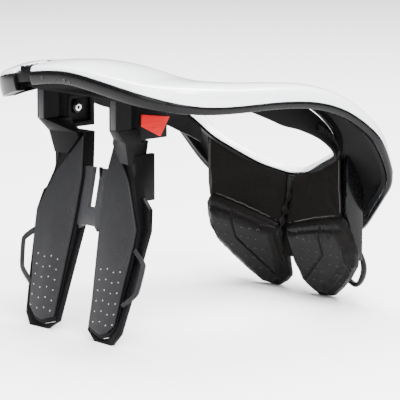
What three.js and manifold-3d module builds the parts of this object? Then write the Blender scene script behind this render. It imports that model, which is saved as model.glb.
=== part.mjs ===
// Motocross neck brace, standing on its two back struts and its two chest pads.
// Millimetres, +X to the wearer's right, +Y forward, +Z up, plane of symmetry X = 0.

import * as THREE from "three";
import { mergeVertices } from "three/addons/utils/BufferGeometryUtils.js";
import Module from "manifold-3d";

const wasm = await Module();
wasm.setup();

// Clearance between pieces that touch
const GAP = 0.3;

// Collar: outside rim, neck opening and height above the floor
const COLLAR_HALF_WIDTH = 129;
const COLLAR_LENGTH = 281;
const COLLAR_HEIGHT = 211;
const NECK_HALF_WIDTH = 88;
const STRUT_SETBACK = 6;

// Collar walls, measured across the table
const SHELL_WALL = 2.5;
const PLATE_WALL = 4;
const PLATE_CLEARANCE = 1;
const TRIM_CLEARANCE = 0.8;
const ENVELOPE_MARGIN = 20;
const ENVELOPE_HEIGHT = 70;
const NECK_WALL = 3;
const FLANK_HEIGHT = 14;
const CREASE_INSET = 8;
const CROWN_RISE = 11;
const LIP_DROP = 6.4;
const LIP_LEAN = 1;
const PLATE_LIP = 1.2;
const LIP_STEP = 0.2;
const BAND_HEIGHT = 10;
const NECK_WALL_DEPTH = 40;
const LEFT_SAG = 13;
const LOOP_STEPS = 60;

// Closure at the left rear, in stations counted from the rear centre
const CLOSURE_FROM = 1.15;
const CLOSURE_TO = 1.82;
const NECK_WALL_END = 11.4;

// Rear beam under the rear table, which carries the struts
const BEAM_HALF_WIDTH = 84;
const BEAM_FRONT = 40;
const BEAM_BACK = 3;
const BEAM_BOTTOM = 192;
const BEAM_RISE = 38;

// Back struts: face plane Y = foot + lean * Z - splay * (X - tip) + depth
const STRUT_TIP_X = 41;
const STRUT_LEAN = 0.208;
const STRUT_SPLAY = 0.04;
const STRUT_FOOT_Y = -5.5;
const STRUT_LENGTH = 155;
const STRUT_HALF_WIDTH = 26;
const STRUT_CENTRE_X = 37;
const STRUT_DEPTH = 12;
const STRUT_TIP_DEPTH = 6;
const FACE_THICKNESS = 2.2;
const RIM_THICKNESS = 4;
const STRUT_LOOP_WIRE = 4;
const STRUT_LOOP_DEPTH = 3;
const POST_WIDTH = 7;
const POST_DEPTH = 14;
const POST_X = 44.5;
const POST_Y = 7;
const POST_BOTTOM = 168;
const POST_STEP = 2;
const WEB_WALL = 6;
const WEB_DROP = 14;
const WEB_BACK = 20.5;
const WEB_FRONT = 30;
const FIN_X = 46;
const FIN_WALL = 4;
const FIN_BACK = 24;
const FIN_FRONT = 43;
const FIN_BOTTOM = 110;
const FIN_TOP = 147;
const BRIDGE_HALF_WIDTH = 14;
const BRIDGE_BOTTOM = 80;
const BRIDGE_TOP = 131;
const BRIDGE_WALL = 4;
const BRIDGE_DEPTH = 4;
const BRIDGE_ARCH = 6;
const BRIDGE_SLOT_FLOOR = 20;
const BRIDGE_SLOT = 0.3;
const CUT_MARGIN = 5;
const EAR_WALL = 6;
const EAR_POCKET = 4;
const EAR_LENGTH = 28;
const EAR_HEIGHT = 28;
const EAR_FRAME = 4;
const EAR_DROP = 10;
const BOSS_FORE = 0.36;
const BOSS_UP = 0.58;
const BOSS_SINK = 1.6;
const BOSS_PROUD = 0.5;
const BOSS_RADIUS = 5.2;
const SCREW_RADIUS = 3.4;
const SCREW_LENGTH = 3;

// Chest: neck liner, chest plates and pads
const LINER_HALF_WIDTH = 79;
const LINER_WALL = 4;
const LINER_OUTER_Y = 219;
const LINER_CENTRE_Y = 231;
const LINER_CENTRE_LEAN = 0.21;
const SEAM_HALF_WIDTH = 3;
const PAD_OUTER_TOP = 80;
const PAD_INNER_TOP = 62;
const PAD_HALF_SPAN = 89;
const PAD_THICKNESS = 7;
const PAD_BACK_Y = 257;
const PAD_SLOPE = 0.1;
const PLATE_SHARE = 0.9;
const PAD_LEAN = 0.37;
const PAD_BOW = 0.066;
const CHEST_PLATE_WALL = 3;
const CHEST_PLATE_X = 85;
const CHEST_FORE_Y = 240;
const CHEST_LAP = 16;
const CHEST_RISE = 2;
const CHEST_FIN_RISE = 6;
const SEAM_LAP = 12;
const SEAM_PROUD = 1;
const CHEST_FIN_FROM = 0.19;
const CHEST_LOOP_WIRE = 4;

// Closure at the left rear and pull tab at the right
const CLOSURE_PLAY = 0.02;
const CLOSURE_DEPTH = 7.8;
const CLOSURE_LEVEL = 0.35;
const CLOSURE_MIDDLE = 0.45;
const CLOSURE_RIBS = 4;
const CLOSURE_RIB_PITCH = 4.5;
const CLOSURE_RIB_LENGTH = 14;
const CLOSURE_RIB_HEIGHT = 2.4;
const PIN_RADIUS = 1.6;
const PIN_HEIGHT = 6;
const PIN_INSET = 23;
const PIN_FROM_END = 0.1;
const TAB_THICKNESS = 1.6;

// Grip strips on the neck walls: place along the collar, share of the wall's height
const GRIP_FROM = 9.4;
const GRIP_TO = 11.3;
const GRIP_HIGH = 0.45;
const GRIP_LOW = 0.72;
const GRIP_CLIMB = 0.36;
const GRIP_WALL = 1.2;

// Stations of the collar from the rear centre round the right side to the front centre.
// x of COLLAR_HALF_WIDTH, y of COLLAR_LENGTH from the rear and z of COLLAR_HEIGHT place the
// rim; neckX of NECK_HALF_WIDTH, neckY and neckZ place the edge of the neck opening; flank,
// inset, crown, band and wall are shares of the sizes of those names. The left side has its
// own flank, band and wall, because the closure's tail and the longer neck wall are there, and
// hangs lower by sag of LEFT_SAG.
const STATIONS = [
  { x: 0, y: 0, z: 1, neckX: 0, neckY: 0.227, neckZ: 1.009,
    flank: 0.27, inset: 0.38, crown: 0.64, band: 1, wall: 0.55 },
  { x: 0.31, y: 0.004, z: 0.981, neckX: 0.386, neckY: 0.227, neckZ: 1,
    flank: 0.33, inset: 0.4, crown: 0.6, band: 1.05, wall: 0.55 },
  { x: 0.581, y: 0.018, z: 0.955, neckX: 0.705, neckY: 0.241, neckZ: 0.976,
    flank: 0.47, inset: 0.5, crown: 0.62, band: 1.05, wall: 0.55,
    leftFlank: 0.3, leftBand: 1.5, leftWall: 0.7 },
  { x: 0.76, y: 0.043, z: 0.935, neckX: 0.864, neckY: 0.273, neckZ: 0.962,
    flank: 0.68, inset: 0.7, crown: 0.8, band: 0.9, wall: 0.5,
    leftFlank: 0.3, leftBand: 1.75, leftWall: 0.72 },
  { x: 0.868, y: 0.085, z: 0.918, neckX: 0.943, neckY: 0.318, neckZ: 0.953,
    flank: 0.85, inset: 1, crown: 0.96, band: 0.75, wall: 0.45,
    leftFlank: 0.35, leftBand: 1.7, leftWall: 0.75 },
  { x: 0.922, y: 0.156, z: 0.902, neckX: 0.977, neckY: 0.361, neckZ: 0.948,
    flank: 0.93, inset: 1, crown: 1.02, band: 0.65, wall: 0.45,
    leftFlank: 0.6, leftBand: 1.3, leftWall: 0.78 },
  { x: 0.953, y: 0.252, z: 0.896, neckX: 0.989, neckY: 0.404, neckZ: 0.943,
    flank: 0.84, inset: 1, crown: 1, band: 0.6, wall: 0.5,
    leftFlank: 0.8, leftBand: 0.8, leftWall: 0.82, sag: 0.15 },
  { x: 0.977, y: 0.377, z: 0.897, neckX: 1, neckY: 0.464, neckZ: 0.934,
    flank: 0.74, inset: 1, crown: 0.88, band: 0.6, wall: 0.62, leftWall: 0.84, sag: 0.35 },
  { x: 0.992, y: 0.518, z: 0.885, neckX: 1, neckY: 0.542, neckZ: 0.91,
    flank: 0.77, inset: 1, crown: 0.92, band: 0.58, wall: 0.75, leftWall: 0.8, sag: 0.6 },
  { x: 1, y: 0.643, z: 0.84, neckX: 1, neckY: 0.632, neckZ: 0.872,
    flank: 0.72, inset: 1, crown: 0.96, band: 0.6, wall: 0.72, leftWall: 0.72, sag: 0.8 },
  { x: 0.996, y: 0.749, z: 0.758, neckX: 0.977, neckY: 0.724, neckZ: 0.782,
    flank: 0.7, inset: 1, crown: 0.96, band: 0.65, wall: 0.55, leftWall: 0.64, sag: 0.5 },
  { x: 0.988, y: 0.81, z: 0.682, neckX: 0.92, neckY: 0.778, neckZ: 0.697,
    flank: 0.72, inset: 1, crown: 0.96, band: 0.75, wall: 0.4, leftWall: 0.5, sag: 0.1 },
  { x: 0.94, y: 0.87, z: 0.54, neckX: 0.795, neckY: 0.81, neckZ: 0.63,
    flank: 0.6, inset: 1, crown: 0.85, band: 0.5, wall: 0.3 },
  { x: 0.826, y: 0.888, z: 0.458, neckX: 0.568, neckY: 0.83, neckZ: 0.588,
    flank: 0.47, inset: 0.9, crown: 0.72, band: 0.4, wall: 0.3 },
  { x: 0.636, y: 0.925, z: 0.355, neckX: 0.364, neckY: 0.853, neckZ: 0.55,
    flank: 0.4, inset: 0.8, crown: 0.56, band: 0.4, wall: 0.3 },
  { x: 0.434, y: 0.968, z: 0.275, neckX: 0.193, neckY: 0.875, neckZ: 0.526,
    flank: 0.33, inset: 0.7, crown: 0.48, band: 0.4, wall: 0.3 },
  { x: 0, y: 1, z: 0.232, neckX: 0, neckY: 0.884, neckZ: 0.517,
    flank: 0.27, inset: 0.6, crown: 0.4, band: 0.4, wall: 0.3 },
];

// Outlines of the strut in its face plane, from the apex down the outer edge and up the inner.
// across is a share of STRUT_HALF_WIDTH from STRUT_CENTRE_X, up a share of STRUT_LENGTH.
const FACE_OUTLINE = [
  { across: -0.67, up: 1 }, { across: 0.27, up: 0.806 }, { across: 0.94, up: 0.587 },
  { across: 0.92, up: 0.51 }, { across: 0.75, up: 0.32 }, { across: 0.6, up: 0.1 },
  { across: 0.31, up: 0.058 }, { across: -0.02, up: 0.042 }, { across: -0.56, up: 0.07 },
  { across: -0.71, up: 0.39 }, { across: -0.83, up: 0.61 }, { across: -0.87, up: 0.8 },
];
const BODY_OUTLINE = [
  { across: -0.68, up: 1.015 }, { across: 0.4, up: 1.015 }, { across: 0.42, up: 0.9 },
  { across: 0.5, up: 0.8 }, { across: 1.0, up: 0.6 }, { across: 0.98, up: 0.5 },
  { across: 0.8, up: 0.3 }, { across: 0.65, up: 0.09 }, { across: 0.34, up: 0.035 },
  { across: -0.02, up: 0.018 }, { across: -0.6, up: 0.045 }, { across: -0.76, up: 0.39 },
  { across: -0.88, up: 0.61 }, { across: -0.92, up: 0.8 },
];
const RIM_OUTLINE = [
  { across: 0.7, up: 0.735 }, { across: 1.1, up: 0.684 }, { across: 1.25, up: 0.58 },
  { across: 1.14, up: 0.43 }, { across: 1.02, up: 0.28 }, { across: 0.82, up: 0.06 },
  { across: 0.48, up: -0.012 }, { across: -0.18, up: -0.012 }, { across: -0.7, up: 0.045 },
  { across: -0.88, up: 0.36 }, { across: -0.98, up: 0.54 },
];

// Middle line of the back strap's loop, in the same shares
const STRUT_LOOP_PATH = [
  { across: 0.96, up: 0.484 }, { across: 1.44, up: 0.425 }, { across: 1.32, up: 0.28 },
  { across: 0.78, up: 0.208 },
];

// Sections of the strut's upper neck: corners inner back, outer back, outer front, inner front,
// as shares of POST_X across, of POST_DEPTH forward of POST_Y and of POST_BOTTOM in height
const NECK_SECTIONS = [
  { level: 0.998, innerX: 0.88, innerY: -0.1, outerX: 1.1, outerY: -0.1,
    frontX: 1.1, front: 1.5, foreX: 0.8 },
  { level: 0.935, innerX: 0.5, innerY: 1.2, outerX: 1.06, outerY: 0.6,
    frontX: 1.12, front: 1.58, foreX: 0.52 },
  { level: 0.83, innerX: 0.4, innerY: 1.3, outerX: 1.02, outerY: 0.9,
    frontX: 1.12, front: 1.9, foreX: 0.45 },
];

// Outline of the red pull tab: fore of EAR_LENGTH from the ear's back, up of EAR_HEIGHT
const TAB_OUTLINE = [
  { fore: 0, up: 0.4 }, { fore: 0.7, up: 0.05 }, { fore: 1.04, up: 0.58 },
  { fore: 0.02, up: 0.74 },
];

// Outline of a chest pad: across of PAD_HALF_SPAN, up of PAD_OUTER_TOP
const PAD_OUTLINE = [
  { across: 0.07, up: 0.775 }, { across: 0.48, up: 0.9 }, { across: 0.89, up: 1 },
  { across: 0.955, up: 0.94 }, { across: 0.99, up: 0.75 }, { across: 1, up: 0.59 },
  { across: 0.94, up: 0.44 }, { across: 0.79, up: 0.275 }, { across: 0.65, up: 0.15 },
  { across: 0.48, up: 0.025 }, { across: 0.3, up: 0 }, { across: 0.17, up: 0.075 },
  { across: 0.09, up: 0.15 }, { across: 0.05, up: 0.375 }, { across: 0.045, up: 0.7 },
];

// Top edge of the neck liner: across of LINER_HALF_WIDTH, rise above PAD_OUTER_TOP as a share of it
const LINER_TOP = [
  { across: 0, rise: 0.31 }, { across: 0.38, rise: 0.38 }, { across: 0.63, rise: 0.49 },
  { across: 0.87, rise: 0.58 }, { across: 1, rise: 0.61 },
];

// Middle line of the chest strap's loop: across of CHEST_PLATE_X, fore of CHEST_FORE_Y and
// up of PAD_OUTER_TOP
const CHEST_LOOP_PATH = [
  { across: 0.97, fore: 1.009, up: 0.54 }, { across: 0.94, fore: 1.036, up: 0.38 },
  { across: 0.84, fore: 1.053, up: 0.22 }, { across: 0.78, fore: 1.05, up: 0.17 },
  { across: 0.71, fore: 1.046, up: 0.22 },
];

// Colours and finishes
const FINISHES = {
  white: { color: 0xf2f3f5, roughness: 0.18, metalness: 0 },
  black: { color: 0x17181a, roughness: 0.6, metalness: 0 },
  satin: { color: 0x101113, roughness: 0.3, metalness: 0 },
  grain: { color: 0x2a2b2e, roughness: 0.55, metalness: 0 },
  grey: { color: 0x4b4d50, roughness: 0.5, metalness: 0 },
  rubber: { color: 0x151516, roughness: 0.8, metalness: 0 },
  cloth: { color: 0x26221f, roughness: 0.95, metalness: 0 },
  red: { color: 0xc41a20, roughness: 0.85, metalness: 0 },
  steel: { color: 0xb9bcc0, roughness: 0.3, metalness: 1 },
};

const brace = new THREE.Group();

// Geometry helpers

/** Strips everything but position, merges the vertices and turns the faces outwards. */
function closed(geometry) {
  geometry.deleteAttribute("normal");
  geometry.deleteAttribute("uv");
  const merged = mergeVertices(geometry, 1e-4);
  if (signedVolume(merged) < 0) {
    const index = merged.getIndex().array;
    for (let i = 0; i < index.length; i += 3) [index[i], index[i + 1]] = [index[i + 1], index[i]];
  }
  return merged;
}

function signedVolume(geometry) {
  const index = geometry.getIndex().array;
  const place = geometry.getAttribute("position");
  const [a, b, c] = [new THREE.Vector3(), new THREE.Vector3(), new THREE.Vector3()];
  let volume = 0;
  for (let i = 0; i < index.length; i += 3) {
    a.fromBufferAttribute(place, index[i]);
    b.fromBufferAttribute(place, index[i + 1]);
    c.fromBufferAttribute(place, index[i + 2]);
    volume += a.dot(b.cross(c)) / 6;
  }
  return volume;
}

/** Moves each vertex of a geometry by a function of its place. */
function mapped(geometry, move) {
  const place = geometry.getAttribute("position");
  const point = new THREE.Vector3();
  for (let i = 0; i < place.count; i += 1) {
    const moved = move(point.fromBufferAttribute(place, i).clone());
    place.setXYZ(i, moved.x, moved.y, moved.z);
  }
  return closed(geometry);
}

/** Skins a row of sections, each a ring of points, and caps the two ends. */
function loft(sections) {
  const count = sections[0].length;
  const points = sections.flat();
  const faces = [];
  for (let s = 0; s + 1 < sections.length; s += 1) {
    for (let i = 0; i < count; i += 1) {
      const j = (i + 1) % count;
      const [a, b, c, d] = [s * count + i, s * count + j, (s + 1) * count + j, (s + 1) * count + i];
      faces.push(a, b, c, a, c, d);
    }
  }
  for (const [at, turned] of [[0, true], [sections.length - 1, false]]) {
    for (const [a, b, c] of capFaces(sections[at])) {
      const face = [a, b, c].map((i) => at * count + i);
      faces.push(...(turned ? face.reverse() : face));
    }
  }
  const geometry = new THREE.BufferGeometry();
  const places = points.flatMap((p) => [p.x, p.y, p.z]);
  geometry.setAttribute("position", new THREE.Float32BufferAttribute(places, 3));
  geometry.setIndex(faces);
  return closed(geometry);
}

/** Triangles across one section, found in the plane that the section lies nearest to. */
function capFaces(section) {
  const normal = new THREE.Vector3();
  section.forEach((p, i) => {
    normal.add(new THREE.Vector3().crossVectors(p, section[(i + 1) % section.length]));
  });
  normal.normalize();
  const across = new THREE.Vector3(normal.y, -normal.x, 0);
  if (across.length() < 0.1) across.set(1, 0, 0);
  across.projectOnPlane(normal).normalize();
  const up = new THREE.Vector3().crossVectors(normal, across);
  const flat = section.map((p) => new THREE.Vector2(p.dot(across), p.dot(up)));
  return THREE.ShapeUtils.triangulateShape(flat, []);
}

function solid(geometry) {
  const mesh = new wasm.Mesh({
    numProp: 3,
    vertProperties: new Float32Array(geometry.getAttribute("position").array),
    triVerts: new Uint32Array(geometry.getIndex().array),
  });
  return new wasm.Manifold(mesh);
}

function fromSolid(body) {
  const mesh = body.getMesh();
  const geometry = new THREE.BufferGeometry();
  const places = new Float32Array(mesh.vertProperties);
  geometry.setAttribute("position", new THREE.BufferAttribute(places, 3));
  geometry.setIndex(new THREE.BufferAttribute(new Uint32Array(mesh.triVerts), 1));
  return geometry;
}

/** The largest piece of a cut solid, without the slivers that the cut leaves beside it. */
function largest(body) {
  return body.decompose().reduce((best, piece) => (piece.volume() > best.volume() ? piece : best));
}

/** Box between two corners. */
function block(low, high) {
  const size = high.map((value, i) => value - low[i]);
  const geometry = new THREE.BoxGeometry(...size);
  geometry.translate(...low.map((value, i) => value + size[i] / 2));
  return closed(geometry);
}

/** Rod between two points. */
function rod(from, to, radius, sides = 12) {
  const length = from.distanceTo(to);
  const geometry = new THREE.CylinderGeometry(radius, radius, length, sides);
  geometry.applyQuaternion(
    new THREE.Quaternion().setFromUnitVectors(
      new THREE.Vector3(0, 1, 0), to.clone().sub(from).normalize()));
  const middle = from.clone().add(to).multiplyScalar(0.5);
  geometry.translate(middle.x, middle.y, middle.z);
  return closed(geometry);
}

function shapeOf(points) {
  return new THREE.Shape(points.map(([x, y]) => new THREE.Vector2(x, y)));
}

/** Wire along a few points, with a square-cut section. */
function wire(points, radius, steps, flat = 1) {
  const path = new THREE.CatmullRomCurve3(points, false, "catmullrom", 0.2);
  const section = new THREE.Shape();
  section.absellipse(0, 0, radius * flat, radius, 0, Math.PI * 2);
  const geometry = new THREE.ExtrudeGeometry(section, { steps, extrudePath: path, curveSegments: 2 });
  return closed(geometry);
}

function place(name, geometry, finish) {
  const mesh = new THREE.Mesh(geometry, new THREE.MeshStandardMaterial(FINISHES[finish]));
  mesh.name = name;
  brace.add(mesh);
  return mesh;
}

const SIDES = [["right", 1], ["left", -1]];

// Collar

/** The station on one side as real sizes: rim point, neck point and the section's heights. */
function stationAt(index) {
  const count = (STATIONS.length - 1) * 2;
  const k = ((index % count) + count) % count;
  const left = k >= STATIONS.length;
  const row = STATIONS[left ? count - k : k];
  const side = left ? -1 : 1;
  const y = (share) => share * COLLAR_LENGTH - STRUT_SETBACK;
  const z = (share) => share * COLLAR_HEIGHT - (left && row.sag ? row.sag : 0) * LEFT_SAG;
  return {
    rim: new THREE.Vector3(side * row.x * COLLAR_HALF_WIDTH, y(row.y), z(row.z)),
    neck: new THREE.Vector3(side * row.neckX * NECK_HALF_WIDTH, y(row.neckY), z(row.neckZ)),
    flank: (left && row.leftFlank ? row.leftFlank : row.flank) * FLANK_HEIGHT,
    inset: row.inset * CREASE_INSET,
    crown: row.crown * CROWN_RISE,
    band: (left && row.leftBand ? row.leftBand : row.band) * BAND_HEIGHT,
    wall: (left && row.leftWall ? row.leftWall : row.wall) * NECK_WALL_DEPTH,
  };
}

const LOOP_COUNT = (STATIONS.length - 1) * 2;
const CLOSURE_START = LOOP_COUNT - CLOSURE_TO;
const CLOSURE_END = LOOP_COUNT - CLOSURE_FROM;
const loopStations = Array.from({ length: LOOP_COUNT }, (_, i) => stationAt(i));
const rimCurve = new THREE.CatmullRomCurve3(loopStations.map((s) => s.rim), true, "catmullrom", 0.5);
const neckCurve = new THREE.CatmullRomCurve3(loopStations.map((s) => s.neck), true, "catmullrom", 0.5);

/** Smooth value of a station's size between the stations. */
function between(key, index) {
  const low = Math.floor(index);
  const t = index - low;
  const smooth = t * t * (3 - 2 * t);
  return stationAt(low)[key] * (1 - smooth) + stationAt(low + 1)[key] * smooth;
}

/** The collar's cross frame at a station number: a runs from the rim to the neck, b stands up. */
function crossFrame(index) {
  const t = (((index / LOOP_COUNT) % 1) + 1) % 1;
  const rim = rimCurve.getPoint(t);
  const neck = neckCurve.getPoint(t);
  const across = neck.clone().sub(rim);
  const width = across.length();
  across.normalize();
  const along = rimCurve.getTangent(t).add(neckCurve.getTangent(t));
  const up = new THREE.Vector3().crossVectors(across, along).normalize();
  if (up.z < 0) up.negate();
  const at = (a, b) => rim.clone().addScaledVector(across, a).addScaledVector(up, b);
  const size = (key) => between(key, index);
  return { index, rim, neck, width, across, up, at, size };
}

/** Offsets an open line of [a, b] points to its right-hand side, with mitred corners. */
function offsetLine(line, distance) {
  return line.map((point, i) => {
    const before = line[Math.max(i - 1, 0)];
    const after = line[Math.min(i + 1, line.length - 1)];
    const unit = (p, q) => {
      const run = [q[0] - p[0], q[1] - p[1]];
      const length = Math.hypot(...run) || 1;
      return [run[1] / length, -run[0] / length];
    };
    const one = i === 0 ? unit(point, after) : unit(before, point);
    const two = i === line.length - 1 ? unit(before, point) : unit(point, after);
    const sum = [one[0] + two[0], one[1] + two[1]];
    const scale = (2 * distance) / Math.max(sum[0] ** 2 + sum[1] ** 2, 1);
    return [point[0] + sum[0] * scale, point[1] + sum[1] * scale];
  });
}

/** A line offset to the inside of the collar, kept from folding back on itself at the lip. */
function insideLine(line, distance) {
  const inner = offsetLine(line, distance);
  const [bend, corner, end] = inner.slice(-3);
  bend[0] = Math.min(bend[0], end[0]);
  corner[1] = Math.min(corner[1], bend[1] - LIP_STEP);
  return inner;
}

/** Outside of the white shell in the cross frame, from the rim to the end of the neck lip. */
function shellLine(frame) {
  const [flank, inset, crown] = ["flank", "inset", "crown"].map(frame.size);
  const span = frame.width - inset;
  return [
    [0, 0],
    [inset * 0.45, flank * 0.8],
    [inset, flank],
    [inset + span * 0.28, Math.max(crown, flank)],
    [inset + span * 0.6, crown * 0.8],
    [frame.width - 3, crown * 0.25],
    [frame.width, -1],
    [frame.width - LIP_LEAN, -LIP_DROP],
  ];
}

/** A wall of even thickness hung on an open line of the cross frame, with a level lower edge. */
function ribbon(frame, line, thickness) {
  const inner = insideLine(line, thickness);
  inner[0] = [line[0][0] + thickness, line[0][1]];
  return [...line, ...inner.reverse()].map(([a, b]) => frame.at(a, b));
}

function plateLine(frame) {
  const line = offsetLine(shellLine(frame), SHELL_WALL + PLATE_CLEARANCE);
  line[0] = [SHELL_WALL + PLATE_CLEARANCE, -frame.size("band")];
  const last = line.length - 1;
  const behindLip = frame.width - LIP_LEAN - SHELL_WALL - PLATE_CLEARANCE;
  line[last - 1] = [behindLip, line[last - 1][1] - GAP];
  line[last] = [behindLip, -LIP_DROP - PLATE_LIP];
  return line;
}

/** Sections of a piece along the collar, on one grid, so that neighbours have the same facets. */
function alongCollar(from, to, section) {
  const pitch = LOOP_COUNT / LOOP_STEPS;
  const indexes = [from];
  for (let k = Math.ceil(from / pitch + 0.2); k <= to / pitch - 0.2; k += 1) indexes.push(k * pitch);
  return [...indexes, to].map((index) => section(crossFrame(index)));
}

function buildCollar() {
  const [from, to] = [-CLOSURE_FROM, CLOSURE_START];
  place("top_shell", loft(alongCollar(from, to, (f) => ribbon(f, shellLine(f), SHELL_WALL))), "white");
  const plateSection = (f) => ribbon(f, plateLine(f), PLATE_WALL);
  place("chassis_plate", loft(alongCollar(from, to, plateSection)), "black");
  place("rim_band", loft(alongCollar(from, to, bandSection)), "satin");
  const wallEnds = { right: [from, NECK_WALL_END], left: [LOOP_COUNT - NECK_WALL_END, to] };
  for (const [name] of SIDES) {
    place(`neck_wall_${name}`, loft(alongCollar(...wallEnds[name], neckWallSection)), "black");
  }
}

function bandSection(frame) {
  const band = frame.size("band");
  const proud = 1.2;
  return [
    [SHELL_WALL, -GAP], [-0.4, -GAP], [-proud, -band * 0.25], [-proud, -band * 0.7],
    [-0.2, -band], [SHELL_WALL, -band],
  ].map(([a, b]) => frame.at(a, b));
}

function neckWallSection(frame) {
  const level = Math.hypot(frame.across.x, frame.across.y);
  const out = new THREE.Vector3(-frame.across.x, -frame.across.y, 0).normalize();
  const inner = frame.width - LIP_LEAN - SHELL_WALL / 2;
  const drop = -LIP_DROP - PLATE_LIP - GAP;
  const top = frame.at(inner, drop);
  const outerTop = frame.at(inner - NECK_WALL / level, drop);
  const bottom = frame.neck.z - frame.size("wall");
  const lower = top.clone().setZ(bottom);
  const outerLower = lower.clone().addScaledVector(out, NECK_WALL);
  return [top, outerTop, outerLower, lower];
}

/** Everything above the chassis plate's underside, used to trim what fits up against it. */
function collarEnvelope(from, to) {
  return solid(loft(alongCollar(from, to, (f) => {
    const under = insideLine(plateLine(f), PLATE_WALL + TRIM_CLEARANCE);
    const low = -f.size("band") - 2 * GAP;
    under[0] = [under[0][0], low];
    const lip = -LIP_DROP - PLATE_LIP - GAP;
    under[under.length - 1][1] = lip;
    const [outside, inside] = [-ENVELOPE_MARGIN, f.width + ENVELOPE_MARGIN * 0.7];
    return [
      [outside, low], ...under, [inside, lip], [inside, ENVELOPE_HEIGHT], [outside, ENVELOPE_HEIGHT],
    ].map(([a, b]) => f.at(a, b));
  })));
}

function buildBeam() {
  const envelope = collarEnvelope(-4, 4);
  const pocket = solid(closureBody(0, GAP));
  const beam = solid(block(
    [-BEAM_HALF_WIDTH, BEAM_BACK, BEAM_BOTTOM], [BEAM_HALF_WIDTH, BEAM_FRONT, BEAM_BOTTOM + BEAM_RISE]));
  place("rear_beam", fromSolid(largest(beam.subtract(envelope).subtract(pocket))), "black");
}

/** Body that fills the gap of the collar at the left rear, less an end play and with a margin. */
function closureBody(play, margin) {
  return loft(alongCollar(CLOSURE_START + play, CLOSURE_END - play, (frame) => {
    const [flank, inset, crown] = ["flank", "inset", "crown"].map(frame.size);
    const [near, middle] = [1 - margin, frame.width * CLOSURE_MIDDLE];
    const far = frame.width - 2 * LIP_LEAN - 1 + margin;
    const low = -CLOSURE_DEPTH - margin;
    return [
      [near, low], [near, -0.5], [inset, flank * CLOSURE_LEVEL], [middle, crown * CLOSURE_LEVEL],
      [far, -1], [far, -LIP_DROP - margin], [middle, low],
    ].map(([a, b]) => frame.at(a, b));
  }));
}

/** Black housing of the closure, with ribs at its rear, and the pin that stands on it. */
function buildClosure() {
  let housing = solid(closureBody(CLOSURE_PLAY, 0));
  for (let i = 0; i < CLOSURE_RIBS; i += 1) {
    const frame = crossFrame((CLOSURE_START + CLOSURE_END) / 2);
    const middle = frame.at(CLOSURE_RIB_PITCH * (i + 1.2), frame.size("flank") * CLOSURE_LEVEL);
    const half = new THREE.Vector3(CLOSURE_RIB_LENGTH / 2, CLOSURE_RIB_PITCH / 4, CLOSURE_RIB_HEIGHT);
    const [low, high] = [middle.clone().sub(half), middle.clone().add(half)];
    housing = housing.add(solid(block(low.toArray(), high.toArray())));
  }
  place("closure_housing", fromSolid(housing), "black");
  const end = crossFrame(CLOSURE_END - PIN_FROM_END);
  const foot = end.at(PIN_INSET, end.size("crown") * CLOSURE_LEVEL + GAP);
  const head = foot.clone().setZ(foot.z + PIN_HEIGHT);
  const bar = new THREE.Vector3(PIN_RADIUS * 2.2, PIN_RADIUS, PIN_RADIUS * 0.7);
  const pin = solid(rod(foot, head, PIN_RADIUS, 10))
    .add(solid(block(head.clone().sub(bar).toArray(), head.clone().add(bar).toArray())));
  place("closure_pin", fromSolid(pin), "satin");
}

/** Ribbed grip strip along the outside of a neck wall. */
function gripSection(frame) {
  const [, outerTop, outerLower] = neckWallSection(frame);
  const station = Math.min(frame.index, LOOP_COUNT - frame.index);
  const share = (station - GRIP_FROM) / (GRIP_TO - GRIP_FROM);
  const out = new THREE.Vector3(-frame.across.x, -frame.across.y, 0).normalize();
  const on = (share, off) => outerTop.clone().lerp(outerLower, share).addScaledVector(out, off);
  const [high, low] = [GRIP_HIGH, GRIP_LOW].map((value) => value - GRIP_CLIMB * share);
  return [on(high, GAP), on(high, GAP + GRIP_WALL), on(low, GAP + GRIP_WALL), on(low, GAP)];
}

function buildGrips() {
  place("grip_strip_right", loft(alongCollar(GRIP_FROM, GRIP_TO, gripSection)), "rubber");
  const [from, to] = [LOOP_COUNT - GRIP_TO, LOOP_COUNT - GRIP_FROM];
  place("grip_strip_left", loft(alongCollar(from, to, gripSection)), "rubber");
}

// Back struts

/** A place on a strut: across and up in its face plane, depth forward of it. */
function strutPoint(side, across, up, depth) {
  const x = STRUT_CENTRE_X + across * STRUT_HALF_WIDTH;
  const z = up * STRUT_LENGTH;
  const face = STRUT_FOOT_Y + STRUT_LEAN * z - STRUT_SPLAY * (x - STRUT_TIP_X);
  return new THREE.Vector3(side * x, face + depth, z);
}

/** Depth of the strut's body, which is thinner at the tip. */
function bodyDepth(up) {
  const share = Math.min(Math.max(up / 0.65, 0), 1);
  return STRUT_TIP_DEPTH + (STRUT_DEPTH - STRUT_TIP_DEPTH) * share;
}

/** An outline of the strut between two depths, each a size or a function of the height. */
function strutSlab(side, outline, near, far) {
  const shape = shapeOf(outline.map(({ across, up }) => [across, up]));
  const geometry = new THREE.ExtrudeGeometry(shape, { depth: 1, bevelEnabled: false, steps: 1 });
  const depth = (size, up) => (typeof size === "function" ? size(up) : size);
  return mapped(geometry, ({ x, y, z }) => strutPoint(side, x, y, depth(z < 0.5 ? near : far, y)));
}

function neckSections(side) {
  return NECK_SECTIONS.map((row) => {
    const z = row.level * POST_BOTTOM;
    const at = (x, y) => new THREE.Vector3(side * x * POST_X, POST_Y + y * POST_DEPTH, z);
    return [at(row.innerX, row.innerY), at(row.outerX, row.outerY), at(row.frontX, row.front),
      at(row.foreX, row.front)];
  });
}

/** Cuts a solid level with the floor. */
function standing(body) {
  return body.subtract(solid(block([-300, -100, -60], [300, 400, 0])));
}

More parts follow.
